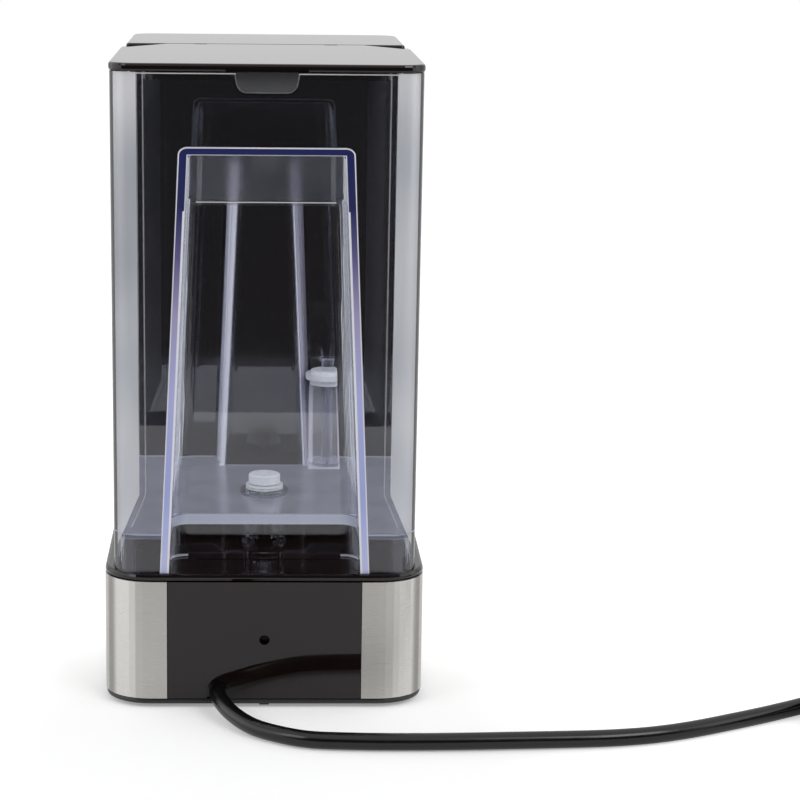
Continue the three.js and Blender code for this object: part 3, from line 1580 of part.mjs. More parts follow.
function makePowerBoard() {
  const half = powerBoardWidth / 2;
  const halfLength = powerBoardLength / 2;
  const top = powerBoardLift + boardThickness;
  const plate = box(
    powerBoardX - half, powerBoardX + half, powerBoardY - halfLength,
    powerBoardY + halfLength, powerBoardLift, top,
  );
  const part = ([width, depth, height], x, y) =>
    box(x - width / 2, x + width / 2, y - depth / 2, y + depth / 2, top - boardThickness / 2, top + height);
  const relay = part(relaySize, powerBoardX + half / 2, powerBoardY + halfLength / 2);
  const transformer = part(transformerSize, powerBoardX + half / 3, powerBoardY - halfLength / 2);
  const terminal = part(terminalSize, cordExitX, powerBoardY + halfLength - terminalSize[1]);
  place("power_board", joined(plate, relay, transformer, terminal), boardGreen);
}

function makeControlCable() {
  const boardTop = powerBoardLift + boardThickness + fitGap + cableRadius;
  const boardFront = powerBoardY - powerBoardLength / 2;
  const rearOfBoard = controlBoardY + fitGap;
  const route = [
    [powerBoardX - 1.75 * cableBend, boardFront + cableBend, boardTop],
    [powerBoardX - 1.75 * cableBend, boardFront - 0.75 * cableBend, boardTop + cableBend / 8],
    [cableRunX, heaterY + 1.75 * cableBend, boardTop + 2 * cableBend],
    [cableRunX, heaterY, heaterBottom - 3.75 * cableBend],
    [cableRunX, heaterY, heaterBottom + 2.25 * cableBend],
    [cableRunX, heaterY, heaterBottom + heaterLength],
    [cableRunX - cableBend / 3, heaterY - cableBend, panelBottom + cableBend],
    [cableRunX - 0.75 * cableBend, controlBoardY + 3 * cableBend, panelBottom + 4 * cableBend],
    [cableRunX - cableBend, rearOfBoard + cableBend, panelBottom + 4.5 * cableBend],
    [cableRunX - cableBend, rearOfBoard, panelBottom + 4.5 * cableBend],
  ];
  place("control_cable", tubeAlong(route, cableRadius, cableSides, cableSteps), greySatin);
}

// Mains cord

function makeGland() {
  const inside = bodyRear - rearPanelThickness - fitGap;
  const outer = cylinderAlongY(
    cordExitX, cordExitZ, glandRadius, inside - glandFlange / 2, bodyRear + glandProud, roundSides,
  );
  const clearOfPan = box(
    cordExitX - 2 * glandFlangeRadius, cordExitX + 2 * glandFlangeRadius,
    inside - 2 * glandInnerLength, bodyRear,
    panBottom, panTop + fitGap,
  );
  const flange = cylinderAlongY(cordExitX, cordExitZ, glandFlangeRadius, inside - glandFlange, inside);
  const geometry = new THREE.CylinderGeometry(
    glandRootRadius, cordRadius + overrun / 2, glandInnerLength, smallSides,
  );
  geometry.translate(cordExitX, inside - glandFlange - glandInnerLength / 2 + overrun / 2, cordExitZ);
  place("cord_gland", cut(joined(outer, flange, solidOf(geometry)), clearOfPan), rubber);
}

function makeInnerFlex() {
  const glandRear = bodyRear - rearPanelThickness - fitGap;
  const start = glandRear - glandFlange - glandInnerLength + overrun / 2 - fitGap;
  const terminalRear = powerBoardY + powerBoardLength / 2 - terminalSize[1] / 2;
  const terminalMiddle = powerBoardLift + boardThickness + terminalSize[2] / 2;
  const route = [
    [cordExitX, start, cordExitZ],
    [cordExitX, start - 12, cordExitZ],
    [cordExitX, (start + terminalRear) / 2 - 2, (cordExitZ + terminalMiddle) / 2],
    [cordExitX, terminalRear + 6, terminalMiddle],
    [cordExitX, terminalRear + fitGap, terminalMiddle],
  ];
  place("inner_flex", tubeAlong(route, innerFlexRadius, cordSides, flexSteps), rubber);
}

function makeCordClamp() {
  const half = clampBlockWidth / 2;
  const rear = bodyRear - rearPanelThickness - glandFlange - glandInnerLength - 2 * fitGap;
  const block = box(
    cordExitX - half, cordExitX + half, rear - clampBlockDepth, rear, panTop + fitGap, clampBlockTop,
  );
  const channel = cylinderAlongY(
    cordExitX, cordExitZ, innerFlexRadius + fitGap,
    rear - clampBlockDepth - overrun, rear + overrun, smallSides,
  );
  const mouth = box(
    cordExitX - innerFlexRadius - fitGap,
    cordExitX + innerFlexRadius + fitGap, rear - clampBlockDepth - overrun,
    rear + overrun, panTop, cordExitZ,
  );
  place("cord_clamp", cut(block, channel, mouth), whitePlastic);
}

function makeCordLead() {
  const points = cordRoute.map(([x, y, lift]) => [x, y, cordLie + lift]);
  let length = 0;
  for (let i = 1; i < points.length; i++) {
    length += new THREE.Vector3(...points[i]).distanceTo(new THREE.Vector3(...points[i - 1]));
  }
  points[0][1] = bodyRear + glandProud + fitGap;
  points[0][2] = cordExitZ;
  console.log("cord stretch: " + length.toFixed(0) + " mm");
  place("cord_lead", tubeAlong(points, cordRadius, cordSides, Math.round(length / cordStep)), rubber);
}

// The coil's centreline: in on the lower layer, a climb where it reverses, out on the upper layer
function coilCentreline() {
  const points = [];
  const middle = coilTurns / 2;
  const count = Math.round(coilTurns * coilStepsPerTurn);
  for (let i = 0; i <= count; i++) {
    const turn = (coilTurns * i) / count;
    const radius = coilOuterRadius - coilPitch * (middle - Math.abs(turn - middle));
    const share = Math.min(1, Math.max(0, (turn - middle) / coilClimbTurns + 1 / 2));
    const climb = share * share * (3 - 2 * share);
    const angle = (coilStartAngle * Math.PI) / 180 - 2 * Math.PI * turn;
    points.push([
      coilX + radius * Math.cos(angle),
      coilY + radius * Math.sin(angle),
      coilLie + coilLayerStep * climb,
    ]);
  }
  return points;
}

function coilEnd() {
  const angle = (coilStartAngle * Math.PI) / 180 - 2 * Math.PI * coilTurns;
  const along = [Math.sin(angle), -Math.cos(angle)];
  return {
    x: coilX + coilOuterRadius * Math.cos(angle), y: coilY + coilOuterRadius * Math.sin(angle), along,
  };
}

function leastSelfGap(points, radius) {
  let least = Infinity;
  const travelled = [0];
  const at = points.map((p) => new THREE.Vector3(...p));
  for (let i = 1; i < at.length; i++) travelled.push(travelled[i - 1] + at[i].distanceTo(at[i - 1]));
  for (let i = 0; i < at.length; i++) {
    for (let j = i + 1; j < at.length; j++) {
      const apart = travelled[j] - travelled[i];
      if (apart > 8 * radius) least = Math.min(least, at[i].distanceTo(at[j]) - 2 * radius);
    }
  }
  return least;
}

function makeCordCoil() {
  const points = coilCentreline();
  const { x, y, along } = coilEnd();
  const startAngle = (coilStartAngle * Math.PI) / 180;
  const into = [Math.sin(startAngle), -Math.cos(startAngle)];
  const [startX, startY, startHeightAt] = points[0];
  for (const reach of [cordRadius, 2 * cordRadius]) {
    points.unshift([startX - into[0] * reach, startY - into[1] * reach, startHeightAt]);
  }
  const rise = plugRadius - (coilLie + coilLayerStep);
  for (const share of [0.3, 0.65, 1]) {
    const climb = share * share * (3 - 2 * share);
    const reach = plugRun * share;
    points.push([x + along[0] * reach, y + along[1] * reach, coilLie + coilLayerStep + rise * climb]);
  }
  const straight = plugRun + 2 * cordRadius;
  points.push([x + along[0] * straight, y + along[1] * straight, plugRadius]);
  const fine = new THREE.CatmullRomCurve3(points.map((p) => new THREE.Vector3(...p)), false, "centripetal");
  const measured = fine.getSpacedPoints(points.length * 2).map((p) => [p.x, p.y, p.z]);
  console.log("cord coil, length: " + fine.getLength().toFixed(0) + " mm");
  console.log("cord coil, least gap to itself: " + leastSelfGap(measured, cordRadius).toFixed(2) + " mm");
  place("cord_coil", tubeAlong(points, cordRadius, coilSides, points.length), rubber);
}

function makeCordTie() {
  const middleRadius = coilOuterRadius - coilPitch * (coilTurns / 4);
  const halfWidth = cordRadius + tieGap + coilPitch / 16;
  const low = coilLie - cordRadius - tieGap;
  const high = coilLie + coilLayerStep + cordRadius + tieGap;
  const outline = roundedOutline(
    -halfWidth - tieThickness, halfWidth + tieThickness,
    low - tieThickness, high + tieThickness, 3 * tieThickness,
  );
  const opening = roundedOutline(-halfWidth, halfWidth, low, high, 2 * tieThickness);
  const loop = cut(
    facing(outline, -tieWidth / 2, tieWidth / 2),
    facing(opening, -tieWidth / 2 - overrun, tieWidth / 2 + overrun),
  );
  const angle = (tieAngle * Math.PI) / 180;
  const placed = loop
    .rotate([0, 0, tieAngle])
    .translate([coilX + middleRadius * Math.cos(angle), coilY + middleRadius * Math.sin(angle), 0]);
  place("cord_tie", placed, blackSatin);
}

function plugTurned(profile, offset = 0) {
  const { x, y, along } = coilEnd();
  const start = plugRun + 2 * cordRadius + fitGap;
  const points = profile.map(([radius, reach]) => new THREE.Vector2(radius, reach));
  const geometry = new THREE.LatheGeometry(points, smallSides);
  geometry.rotateZ(-Math.PI / 2);
  geometry.translate(start, offset, 0);
  geometry.rotateZ(Math.atan2(along[1], along[0]));
  geometry.translate(x, y, plugRadius);
  return solidOf(geometry);
}

function makePlug() {
  const bodyStart = plugSleeveLength;
  const bodyEnd = plugSleeveLength + plugLength;
  const body = plugTurned([
    [0, 0],
    [plugSleeveRadius, 0],
    [plugSleeveRadius + overrun, bodyStart],
    [plugWaistRadius, bodyStart + plugLength / 6],
    [plugWaistRadius + overrun, bodyStart + plugLength / 2],
    [plugRadius - cordLift, bodyStart + (2 * plugLength) / 3],
    [plugRadius - cordLift, bodyEnd],
    [0, bodyEnd],
  ]);
  place("plug_body", body, rubber);
  const half = plugPinSpacing / 2;
  const names = ["plug_pin_one", "plug_pin_two"];
  [-half, half].forEach((offset, i) => {
    const low = bodyEnd + fitGap;
    const pin = plugTurned(
      [
        [0, low],
        [plugPinRadius, low],
        [plugPinRadius, low + plugPinLength - overrun],
        [overrun, low + plugPinLength],
        [0, low + plugPinLength],
      ],
      offset,
    );
    place(names[i], pin, brass);
  });
}

makeFeet();
makeBasePan();
makeSteelBand();
makeRearPanel();
makePanelScrew();
makeBaseDeck();
makeValvePin();
makeSpigotSeal();
makeTank();
makeTankLid();
makeHingePins();
makeValvePlug();
makeValveSeal();
makeValveClip();
makeValveSpring();
makeFloatGuide();
makeFloat();
makeFloatMagnet();
makeFloatCap();
makeTowerBack();
makeTowerShell();
makeHeater();
makeHeaterClamps();
makeThermostat();
makeLevelSensor();
makeHeadShell();
makeHeadCover();
makeSpout();
makeSpoutNut();
makeControlPanel();
makeKnob();
makeKnobShaft();
makeEncoder();
makeControlBoard();
makeButtons();
makeDripTray();
makeDripGrille();
makePump();
makeHoses();
makePowerBoard();
makeControlCable();
makeGland();
makeInnerFlex();
makeCordClamp();
makeCordLead();
makeCordCoil();
makeCordTie();
makePlug();

export default group;
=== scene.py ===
"""The countertop hot water dispenser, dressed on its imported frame: camera, cord, finishes, studio."""

import json
import math

import bpy
from mathutils import Matrix, Vector


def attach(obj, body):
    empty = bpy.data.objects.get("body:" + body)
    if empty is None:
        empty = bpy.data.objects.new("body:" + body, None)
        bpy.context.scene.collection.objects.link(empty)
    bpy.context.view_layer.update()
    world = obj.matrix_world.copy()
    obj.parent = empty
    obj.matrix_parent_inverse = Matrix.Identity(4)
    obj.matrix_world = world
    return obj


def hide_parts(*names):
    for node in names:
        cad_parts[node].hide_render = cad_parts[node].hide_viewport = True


# Camera, fitted to the photograph's edges
CAMERA_PLACE = (0.007, 1.373, 0.4134)
CAMERA_YAW = 1.87
CAMERA_PITCH = 11.46
CAMERA_ROLL = 0.6
CAMERA_LENS = 112.88
CAMERA_SENSOR = 36.0
CAMERA_SHIFT = 0.085
CAMERA_FAR = 60.0

# Mains cord: its exit, the free stretch given as x, y and lift, and the coil
CORD_RADIUS = 0.0043
CORD_LIE = 0.0044
CORD_SIDES = 20
CORD_STEP = 0.004
CORD_EXIT = (0.0242, 0.1363, 0.01)
CORD_ROUTE = [
    (0.0242, 0.1405, 0.0054),
    (0.0225, 0.148, 0.0044),
    (0.0188, 0.158, 0.0028),
    (0.0133, 0.168, 0.0013),
    (0.0055, 0.1787, 0.0003),
    (-0.0055, 0.188, 0),
    (-0.021, 0.1966, 0),
    (-0.043, 0.1996, 0),
    (-0.068, 0.2004, 0),
    (-0.095, 0.1998, 0),
    (-0.122, 0.1984, 0),
    (-0.147, 0.197, 0),
    (-0.169, 0.1952, 0),
    (-0.189, 0.1914, 0),
    (-0.205, 0.1859, 0),
    (-0.22, 0.1788, 0),
    (-0.236, 0.17, 0),
    (-0.254, 0.1596, 0),
    (-0.272, 0.1492, 0.0004),
    (-0.288, 0.14, 0.0011),
]
COIL_CENTRE = (-0.3313, 0.1749)
COIL_OUTER_RADIUS = 0.052
COIL_PITCH = 0.009
COIL_TURNS = 2.1
COIL_START_ANGLE = -59.6
COIL_LIE = 0.0057
COIL_LAYER_STEP = 0.0092
COIL_CLIMB_TURNS = 0.5
COIL_STEPS_PER_TURN = 24
LEAD_IN_SHARES = (2, 1)
PLUG_RUN = 0.026
PLUG_RUN_SHARES = (0.3, 0.65, 1)
PLUG_AXIS_HEIGHT = 0.018

# The tank's moulding, where painted light and shade go on its thick edges, and its grained floor
TANK_FOOT = 0.0698
TANK_REAR = 0.1315
TANK_HALF = 0.0722
TANK_FRONT = -0.0287
TANK_WALL = 0.0025
FLOOR_TOP = 0.0938
FLOOR_FALL = 0.0345
VALVE_Y = 0.0495
NICHE_FOOT_HALF = 0.0491
NICHE_TOP_HALF = 0.0394
NICHE_TOP = 0.285
NICHE_INNER_TOP = 0.257
NICHE_BACK = 0.0935
NICHE_SIDE_WALL = 0.0043
NICHE_ROOF_WALL = 0.0035
GROOVE_FOOT_HALF = 0.0237
GROOVE_TOP_HALF = 0.0147
GROOVE_MOUTH_FOOT_HALF = 0.0275
GROOVE_MOUTH_TOP_HALF = 0.0203
GROOVE_TOP = 0.268
GROOVE_TIP = -0.0095
TANK_CORNER = 0.014
TANK_FOOT_WIDTH = 0.155
TANK_TOP = 0.3256
TANK_TOP_WIDTH = 0.1568
DARK_LINE = 0.0022
LIGHT_LINE_INSET = 0.003
POCKET_FOOT_HALF = 0.014
POCKET_TOP_HALF = 0.0158
POCKET_BOTTOM = 0.3162
POCKET_CORNER = 0.004
POCKET_BACK = 0.125
POCKET_WALL = 0.0016
FLOAT_AXIS = (-0.0355, -0.0105)
FLOAT_CAGE = 0.0106
FLOAT_REST = 0.142
RIM_DEPTH = 0.0012

# The blue that clear plastic takes on in the thick
TANK_BLUE = (0.02, 0.26, 0.89, 1)
TANK_BLUE_DENSITY = 22.0

# The painted bright rear corners of the tank: two heights, and how far they have drawn in there
CORNER_TURN = (0.112, 0.0)
CORNER_FOOT = (0.092, 0.0084)

# The steel band's round rear corners
BODY_HALF = 0.0805
BODY_REAR = 0.135
BAND_CORNER = 0.0145

# Half the width of a painted line of light on the plastic, and the fade at the edge of a zone
EDGE_LINE = 0.00025
FADE = 0.0002

# How deep light goes into the hoses and the seal
SILICONE_DEPTH = 0.004

# The values that most noise lies between, and how high each finish's fine relief stands
NOISE_RANGE = (0.3, 0.7)
RELIEF_HEIGHTS = {
    "black_gloss": 0.00002,
    "black_satin": 0.00004,
    "black_rubber": 0.00003,
    "brushed_steel": 0.00001,
    "plain_steel": 0.00002,
    "aluminium": 0.00006,
    "brass": 0.00002,
    "white_plastic": 0.00003,
    "grey_plastic": 0.00003,
    "silicone": 0.00003,
    "board": 0.00004,
    "clear_plastic": 0.00004,
}

# Edges of the moulded pieces
SMOOTH_ANGLE = 35.0
BEVEL_ANGLE = 40.0
BEVEL_STEPS = 2
BEVELS = {
    "tower_back": 0.0012,
    "head_cover": 0.0003,
    "rear_panel": 0.0003,
    "control_panel": 0.0003,
    "valve_plug": 0.0003,
    "float": 0.0003,
    "base_pan": 0.0006,
}

# Studio
FLOOR_HALF = 6.0
FLOOR_NEAR_EDGE = 0.8
FLOOR_DROP = 0.0002
FLOOR_GREY = 0.8
# The floor's glow in the painted shadow near the object, away from it and in gloss, then that painted
# shadow's centre and fade
FLOOR_GLOW_IN_PAINTED_SHADOW = 0.26
FLOOR_GLOW_FAR = 0.56
FLOOR_GLOW_MIRRORED = 0.15
PAINTED_SHADOW_CENTRE = (0.0, 0.2, 0.0)
PAINTED_SHADOW_FADE = (0.1, 0.24)
SKY_LIT = 0.62
SKY_MIRRORED = 0.76
SKY_DIM = 0.06
DIM_SIDE = (0.25, 0.7)
BRIGHT_TOP = (0.45, 0.8)
LAMPS = {
    "key": {"place": (-1.5, 1.9, 2.0), "size": (1.6, 1.2), "power": 26.0},
    "fill": {"place": (1.9, 1.6, 1.6), "size": (1.2, 1.2), "power": 12.0},
    "back": {"place": (0.0, -2.4, 0.95), "size": (3.0, 1.1), "power": 0.5},
    "left": {"place": (1.5, 0.1, 0.55), "size": (2.0, 1.0), "power": 5.0},
    "right": {"place": (-1.5, 0.25, 0.55), "size": (1.0, 1.0), "power": 3.0},
}
AIM = (0.0, 0.0, 0.18)

# The clear pieces, which cast no shadow
UNSHADOWED = ("tank", "float_guide", "float_cap")


# Curves

def smooth_points(points, step):
    """Points about a step apart on the centripetal curve through the given ones."""
    knots = [2 * points[0] - points[1], *points, 2 * points[-1] - points[-2]]
    found = []
    for p0, p1, p2, p3 in zip(knots, knots[1:], knots[2:], knots[3:]):
        t1 = math.sqrt((p1 - p0).length)
        t2 = t1 + math.sqrt((p2 - p1).length)
        t3 = t2 + math.sqrt((p3 - p2).length)
        count = max(1, round((p2 - p1).length / step))
        for i in range(count):
            t = t1 + (t2 - t1) * i / count
            a1 = p0.lerp(p1, t / t1)
            a2 = p1.lerp(p2, (t - t1) / (t2 - t1))
            a3 = p2.lerp(p3, (t - t2) / (t3 - t2))
            b1 = a1.lerp(a2, t / t2)
            b2 = a2.lerp(a3, (t - t1) / (t3 - t1))
            found.append(b1.lerp(b2, (t - t1) / (t2 - t1)))
    found.append(points[-1].copy())
    return found


def eased(share):
    """A smooth climb from 0 to 1."""
    share = min(1.0, max(0.0, share))
    return share * share * (3 - 2 * share)


def coil_points():
    """The coil: in on the lower layer, a climb where it reverses, out on the upper one to the plug."""
    start = math.radians(COIL_START_ANGLE)
    middle = COIL_TURNS / 2
    count = round(COIL_TURNS * COIL_STEPS_PER_TURN)
    turns = []
    for i in range(count + 1):
        turn = COIL_TURNS * i / count
        radius = COIL_OUTER_RADIUS - COIL_PITCH * (middle - abs(turn - middle))
        angle = start - 2 * math.pi * turn
        climb = eased((turn - middle) / COIL_CLIMB_TURNS + 1 / 2)
        across = Vector((math.cos(angle), math.sin(angle), 0)) * radius
        turns.append(Vector((*COIL_CENTRE, COIL_LIE + COIL_LAYER_STEP * climb)) + across)
    into = Vector((math.sin(start), -math.cos(start), 0))
    lead_in = [turns[0] - into * CORD_RADIUS * share for share in LEAD_IN_SHARES]
    end = start - 2 * math.pi * COIL_TURNS
    along = Vector((math.sin(end), -math.cos(end), 0))
    rise = PLUG_AXIS_HEIGHT - COIL_LIE - COIL_LAYER_STEP
    tail = [
        turns[-1] + along * PLUG_RUN * share + Vector((0, 0, rise * eased(share)))
        for share in PLUG_RUN_SHARES
    ]
    tail.append(tail[-1] + along * 2 * CORD_RADIUS)
    return lead_in + turns + tail


def cord_path():
    """The whole cord, from where it leaves the housing to the plug."""
    stretch = [Vector((x, y, CORD_LIE + lift)) for x, y, lift in CORD_ROUTE]
    return smooth_points([Vector(CORD_EXIT), *stretch, *coil_points()], CORD_STEP)


def tube_object(name, path, radius, sides):
    """A round tube along a path, its rings carried along without twist, closed at both ends."""
    vertices = []
    side = Vector((0, 0, 1))
    for i, point in enumerate(path):
        ahead = path[min(i + 1, len(path) - 1)] - path[max(i - 1, 0)]
        ahead.normalize()
        side = (side - ahead * side.dot(ahead)).normalized()
        other = ahead.cross(side)
        for k in range(sides):
            angle = 2 * math.pi * k / sides
            vertices.append(point + radius * (side * math.cos(angle) + other * math.sin(angle)))
    faces = []
    for i in range(len(path) - 1):
        for k in range(sides):
            low = i * sides + k
            high = i * sides + (k + 1) % sides
            faces.append((low, high, high + sides, low + sides))
    faces.append(tuple(reversed(range(sides))))
    faces.append(tuple(range((len(path) - 1) * sides, len(path) * sides)))
    mesh = bpy.data.meshes.new(name)
    mesh.from_pydata([tuple(v) for v in vertices], [], faces)
    mesh.update()
    for polygon in mesh.polygons:
        polygon.use_smooth = len(polygon.vertices) == 4
    piece = bpy.data.objects.new(name, mesh)
    bpy.context.scene.collection.objects.link(piece)
    return piece


# Material building blocks

def new_finish(name, settings):
    """A material with one Principled shader, and the settings of its sockets."""
    material = bpy.data.materials.new(name)
    material.use_nodes = True
    tree = material.node_tree
    tree.nodes.clear()
    output = tree.nodes.new("ShaderNodeOutputMaterial")
    shader = tree.nodes.new("ShaderNodeBsdfPrincipled")
    tree.links.new(shader.outputs["BSDF"], output.inputs["Surface"])
    for socket, value in settings.items():
        shader.inputs[socket].default_value = value
    return material, tree, shader


def noise(tree, scale, detail=2.0, stretch=(1, 1, 1)):
    """Noise fixed to the piece, with its features about one over the scale in metres."""
    coordinates = tree.nodes.new("ShaderNodeTexCoord")
    mapping = tree.nodes.new("ShaderNodeMapping")
    mapping.inputs["Scale"].default_value = stretch
    texture = tree.nodes.new("ShaderNodeTexNoise")
    texture.inputs["Scale"].default_value = scale
    texture.inputs["Detail"].default_value = detail
    tree.links.new(coordinates.outputs["Object"], mapping.inputs["Vector"])
    tree.links.new(mapping.outputs["Vector"], texture.inputs["Vector"])
    return texture.outputs["Fac"]


def ranged(tree, value, low, high):
    """A noise value spread from low to high."""
    spread = tree.nodes.new("ShaderNodeMapRange")
    spread.inputs["From Min"].default_value = NOISE_RANGE[0]
    spread.inputs["From Max"].default_value = NOISE_RANGE[1]
    spread.inputs["To Min"].default_value = low
    spread.inputs["To Max"].default_value = high
    tree.links.new(value, spread.inputs["Value"])
    return spread.outputs["Result"]


def mottled(tree, value, dark, light):
    """A colour between dark and light by a noise value."""
    ramp = tree.nodes.new("ShaderNodeValToRGB")
    first, last = ramp.color_ramp.elements
    first.position, last.position = NOISE_RANGE
    first.color = (*dark, 1)
    last.color = (*light, 1)
    tree.links.new(value, ramp.inputs["Fac"])
    return ramp.outputs["Color"]


def relief(tree, shader, value, height, strength):
    """Fine relief from a noise value."""
    bump = tree.nodes.new("ShaderNodeBump")
    bump.inputs["Distance"].default_value = height
    bump.inputs["Strength"].default_value = strength
    tree.links.new(value, bump.inputs["Height"])
    tree.links.new(bump.outputs["Normal"], shader.inputs["Normal"])


def calculated(tree, operation, first, second):
    """One step of arithmetic on two values, each a number or a socket."""
    step = tree.nodes.new("ShaderNodeMath")
    step.operation = operation
    for place, value in zip(step.inputs, (first, second)):
        if isinstance(value, float):
            place.default_value = value
        else:
            tree.links.new(value, place)
    return step.outputs["Value"]


def unsigned(tree, value):
    """A length without its sign."""
    return calculated(tree, "ABSOLUTE", value, 0.0)


def product(tree, *shares):
    """All the shares multiplied."""
    total = shares[0]
    for share in shares[1:]:
        total = calculated(tree, "MULTIPLY", total, share)
    return total


def any_of(tree, *names):
    """One where the ray is of any of the named kinds, and zero elsewhere."""
    light = tree.nodes.new("ShaderNodeLightPath")
    total = light.outputs[names[0]]
    for name in names[1:]:
        total = calculated(tree, "MAXIMUM", total, light.outputs[name])
    return total


def blended(tree, share, low, high):
    """A number between two others, each a number or a socket."""
    spread = tree.nodes.new("ShaderNodeMix")
    for socket, value in (("Factor", share), ("A", low), ("B", high)):
        if isinstance(value, float):
            spread.inputs[socket].default_value = value
        else:
            tree.links.new(value, spread.inputs[socket])
    return spread.outputs["Result"]


def rising(tree, value, start, end):
    """A smooth rise from 0 to 1 as the value goes from start to end."""
    spread = tree.nodes.new("ShaderNodeMapRange")
    spread.interpolation_type = "SMOOTHSTEP"
    spread.inputs["From Min"].default_value = start
    spread.inputs["From Max"].default_value = end
    tree.links.new(value, spread.inputs["Value"])
    return spread.outputs["Result"]


def between(tree, value, low, high):
    """One between two lengths, with a short fade at both."""
    up = rising(tree, value, low - FADE, low + FADE)
    down = rising(tree, value, high + FADE, high - FADE)
    return calculated(tree, "MINIMUM", up, down)


def edge(tree, value, place):
    """One within a line's half width of a length."""
    return between(tree, value, place - EDGE_LINE, place + EDGE_LINE)


def sloped(tree, value, low, high):
    """A length that goes straight from one pair of value and length to another, and on beyond them."""
    slope = (high[1] - low[1]) / (high[0] - low[0])
    return calculated(tree, "ADD", calculated(tree, "MULTIPLY", value, slope), low[1] - slope * low[0])


def past_corner(tree, across, above):
    """How far a point lies outside both sides of a corner, measured round it."""
    inside = calculated(tree, "MINIMUM", calculated(tree, "MAXIMUM", across, above), 0.0)
    first = calculated(tree, "POWER", calculated(tree, "MAXIMUM", across, 0.0), 2.0)
    second = calculated(tree, "POWER", calculated(tree, "MAXIMUM", above, 0.0), 2.0)
    outside = calculated(tree, "SQRT", calculated(tree, "ADD", first, second), 0.0)
    return calculated(tree, "ADD", outside, inside)


def rest_point(tree):
    """X, Y and Z of a point of the piece, with the piece at rest."""
    coordinates = tree.nodes.new("ShaderNodeTexCoord")
    parts = tree.nodes.new("ShaderNodeSeparateXYZ")
    tree.links.new(coordinates.outputs["Object"], parts.inputs["Vector"])
    return parts.outputs["X"], parts.outputs["Y"], parts.outputs["Z"]


def tinted(tree, share, low, high):
    """A colour between two others, each a colour or a socket."""
    mix = tree.nodes.new("ShaderNodeMix")
    mix.data_type = "RGBA"
    tree.links.new(share, mix.inputs["Factor"])
    for socket, value in (("A", low), ("B", high)):
        place = next(i for i in mix.inputs if i.name == socket and i.type == "RGBA")
        if isinstance(value, tuple):
            place.default_value = (*value, 1)
        else:
            tree.links.new(value, place)
    return next(o for o in mix.outputs if o.type == "RGBA")


# Finishes, one for each material slot

def even_finish(name, settings, tint, roughness, grain):
    """A finish without zones, whose tint, roughness and relief each follow a noise of their own.

    Each of the three starts with its noise's scale and detail. The tint goes on with its dark and its light
    colour, the roughness with its least and its most, and the grain with the strength of its relief.
    """
    material, tree, shader = new_finish(name, settings)
    scale, detail, dark, light = tint
    tree.links.new(mottled(tree, noise(tree, scale, detail), dark, light), shader.inputs["Base Color"])
    scale, detail, low, high = roughness
    tree.links.new(ranged(tree, noise(tree, scale, detail), low, high), shader.inputs["Roughness"])
    scale, detail, strength = grain
    relief(tree, shader, noise(tree, scale, detail), RELIEF_HEIGHTS[name], strength)
    return material


def black_gloss():
    return even_finish(
        "black_gloss",
        {"IOR": 1.46},
        tint=(18, 3, (0.0042, 0.0022, 0.0019), (0.0062, 0.0034, 0.003)),
        roughness=(60, 4, 0.03, 0.06),
        grain=(45, 1, 0.2),
    )


def black_satin():
    return even_finish(
        "black_satin",
        {"IOR": 1.5},
        tint=(90, 4, (0.011, 0.011, 0.012), (0.018, 0.018, 0.019)),
        roughness=(400, 3, 0.34, 0.5),
        grain=(2600, 2, 0.35),
    )


def black_rubber():
    return even_finish(
        "black_rubber",
        {"IOR": 1.48},
        tint=(120, 4, (0.0018, 0.0017, 0.0018), (0.0036, 0.0034, 0.0035)),
        roughness=(300, 3, 0.16, 0.24),
        grain=(1400, 2, 0.2),
    )


def brushed_steel():
    """Steel with a fine level grain, a painted highlight round the body's rear corners and painted shade
    where they end.
    """
    settings = {"Metallic": 1.0, "Anisotropic": 0.85, "Anisotropic Rotation": 0.25}
    material, tree, shader = new_finish("brushed_steel", settings)
    tangent = tree.nodes.new("ShaderNodeTangent")
    tangent.direction_type = "RADIAL"
    tangent.axis = "Z"
    tree.links.new(tangent.outputs["Tangent"], shader.inputs["Tangent"])
    x, y, _ = rest_point(tree)
    width = unsigned(tree, x)
    rear = rising(tree, y, BODY_REAR - BAND_CORNER - FADE, BODY_REAR - BAND_CORNER)
    start = BODY_HALF - BAND_CORNER
    # A painted highlight round the rear corners, and painted shade where they end
    corner = product(tree, rising(tree, width, start, start + 4 * FADE), rear)
    end = product(tree, rising(tree, width, BODY_HALF - BAND_CORNER / 3, BODY_HALF - BAND_CORNER / 8), rear)
    colour = mottled(tree, noise(tree, 60, 4, (1, 1, 160)), (0.535, 0.52, 0.495), (0.57, 0.555, 0.53))
    colour = tinted(tree, corner, colour, (0.66, 0.645, 0.62))
    colour = tinted(tree, end, colour, (0.32, 0.31, 0.29))
    tree.links.new(colour, shader.inputs["Base Color"])
    tree.links.new(ranged(tree, noise(tree, 60, 4, (1, 1, 70)), 0.26, 0.34), shader.inputs["Roughness"])
    relief(tree, shader, noise(tree, 40, 2, (1, 1, 220)), RELIEF_HEIGHTS["brushed_steel"], 0.02)
    return material


def plain_steel():
    return even_finish(
        "plain_steel",
        {"Metallic": 1.0},
        tint=(220, 4, (0.5, 0.51, 0.53), (0.66, 0.67, 0.69)),
        roughness=(500, 3, 0.2, 0.34),
        grain=(900, 2, 0.2),
    )


def aluminium():
    return even_finish(
        "aluminium",
        {"Metallic": 1.0},
        tint=(160, 5, (0.5, 0.5, 0.51), (0.66, 0.67, 0.68)),
        roughness=(420, 3, 0.4, 0.58),
        grain=(1100, 3, 0.5),
    )


def brass():
    return even_finish(
        "brass",
        {"Metallic": 1.0},
        tint=(260, 3, (0.58, 0.43, 0.2), (0.76, 0.6, 0.32)),
        roughness=(700, 3, 0.2, 0.36),
        grain=(1500, 2, 0.2),
    )


def white_plastic():
    return even_finish(
        "white_plastic",
        {"IOR": 1.5},
        tint=(70, 3, (0.68, 0.7, 0.72), (0.76, 0.775, 0.79)),
        roughness=(500, 2, 0.26, 0.38),
        grain=(1500, 2, 0.25),
    )


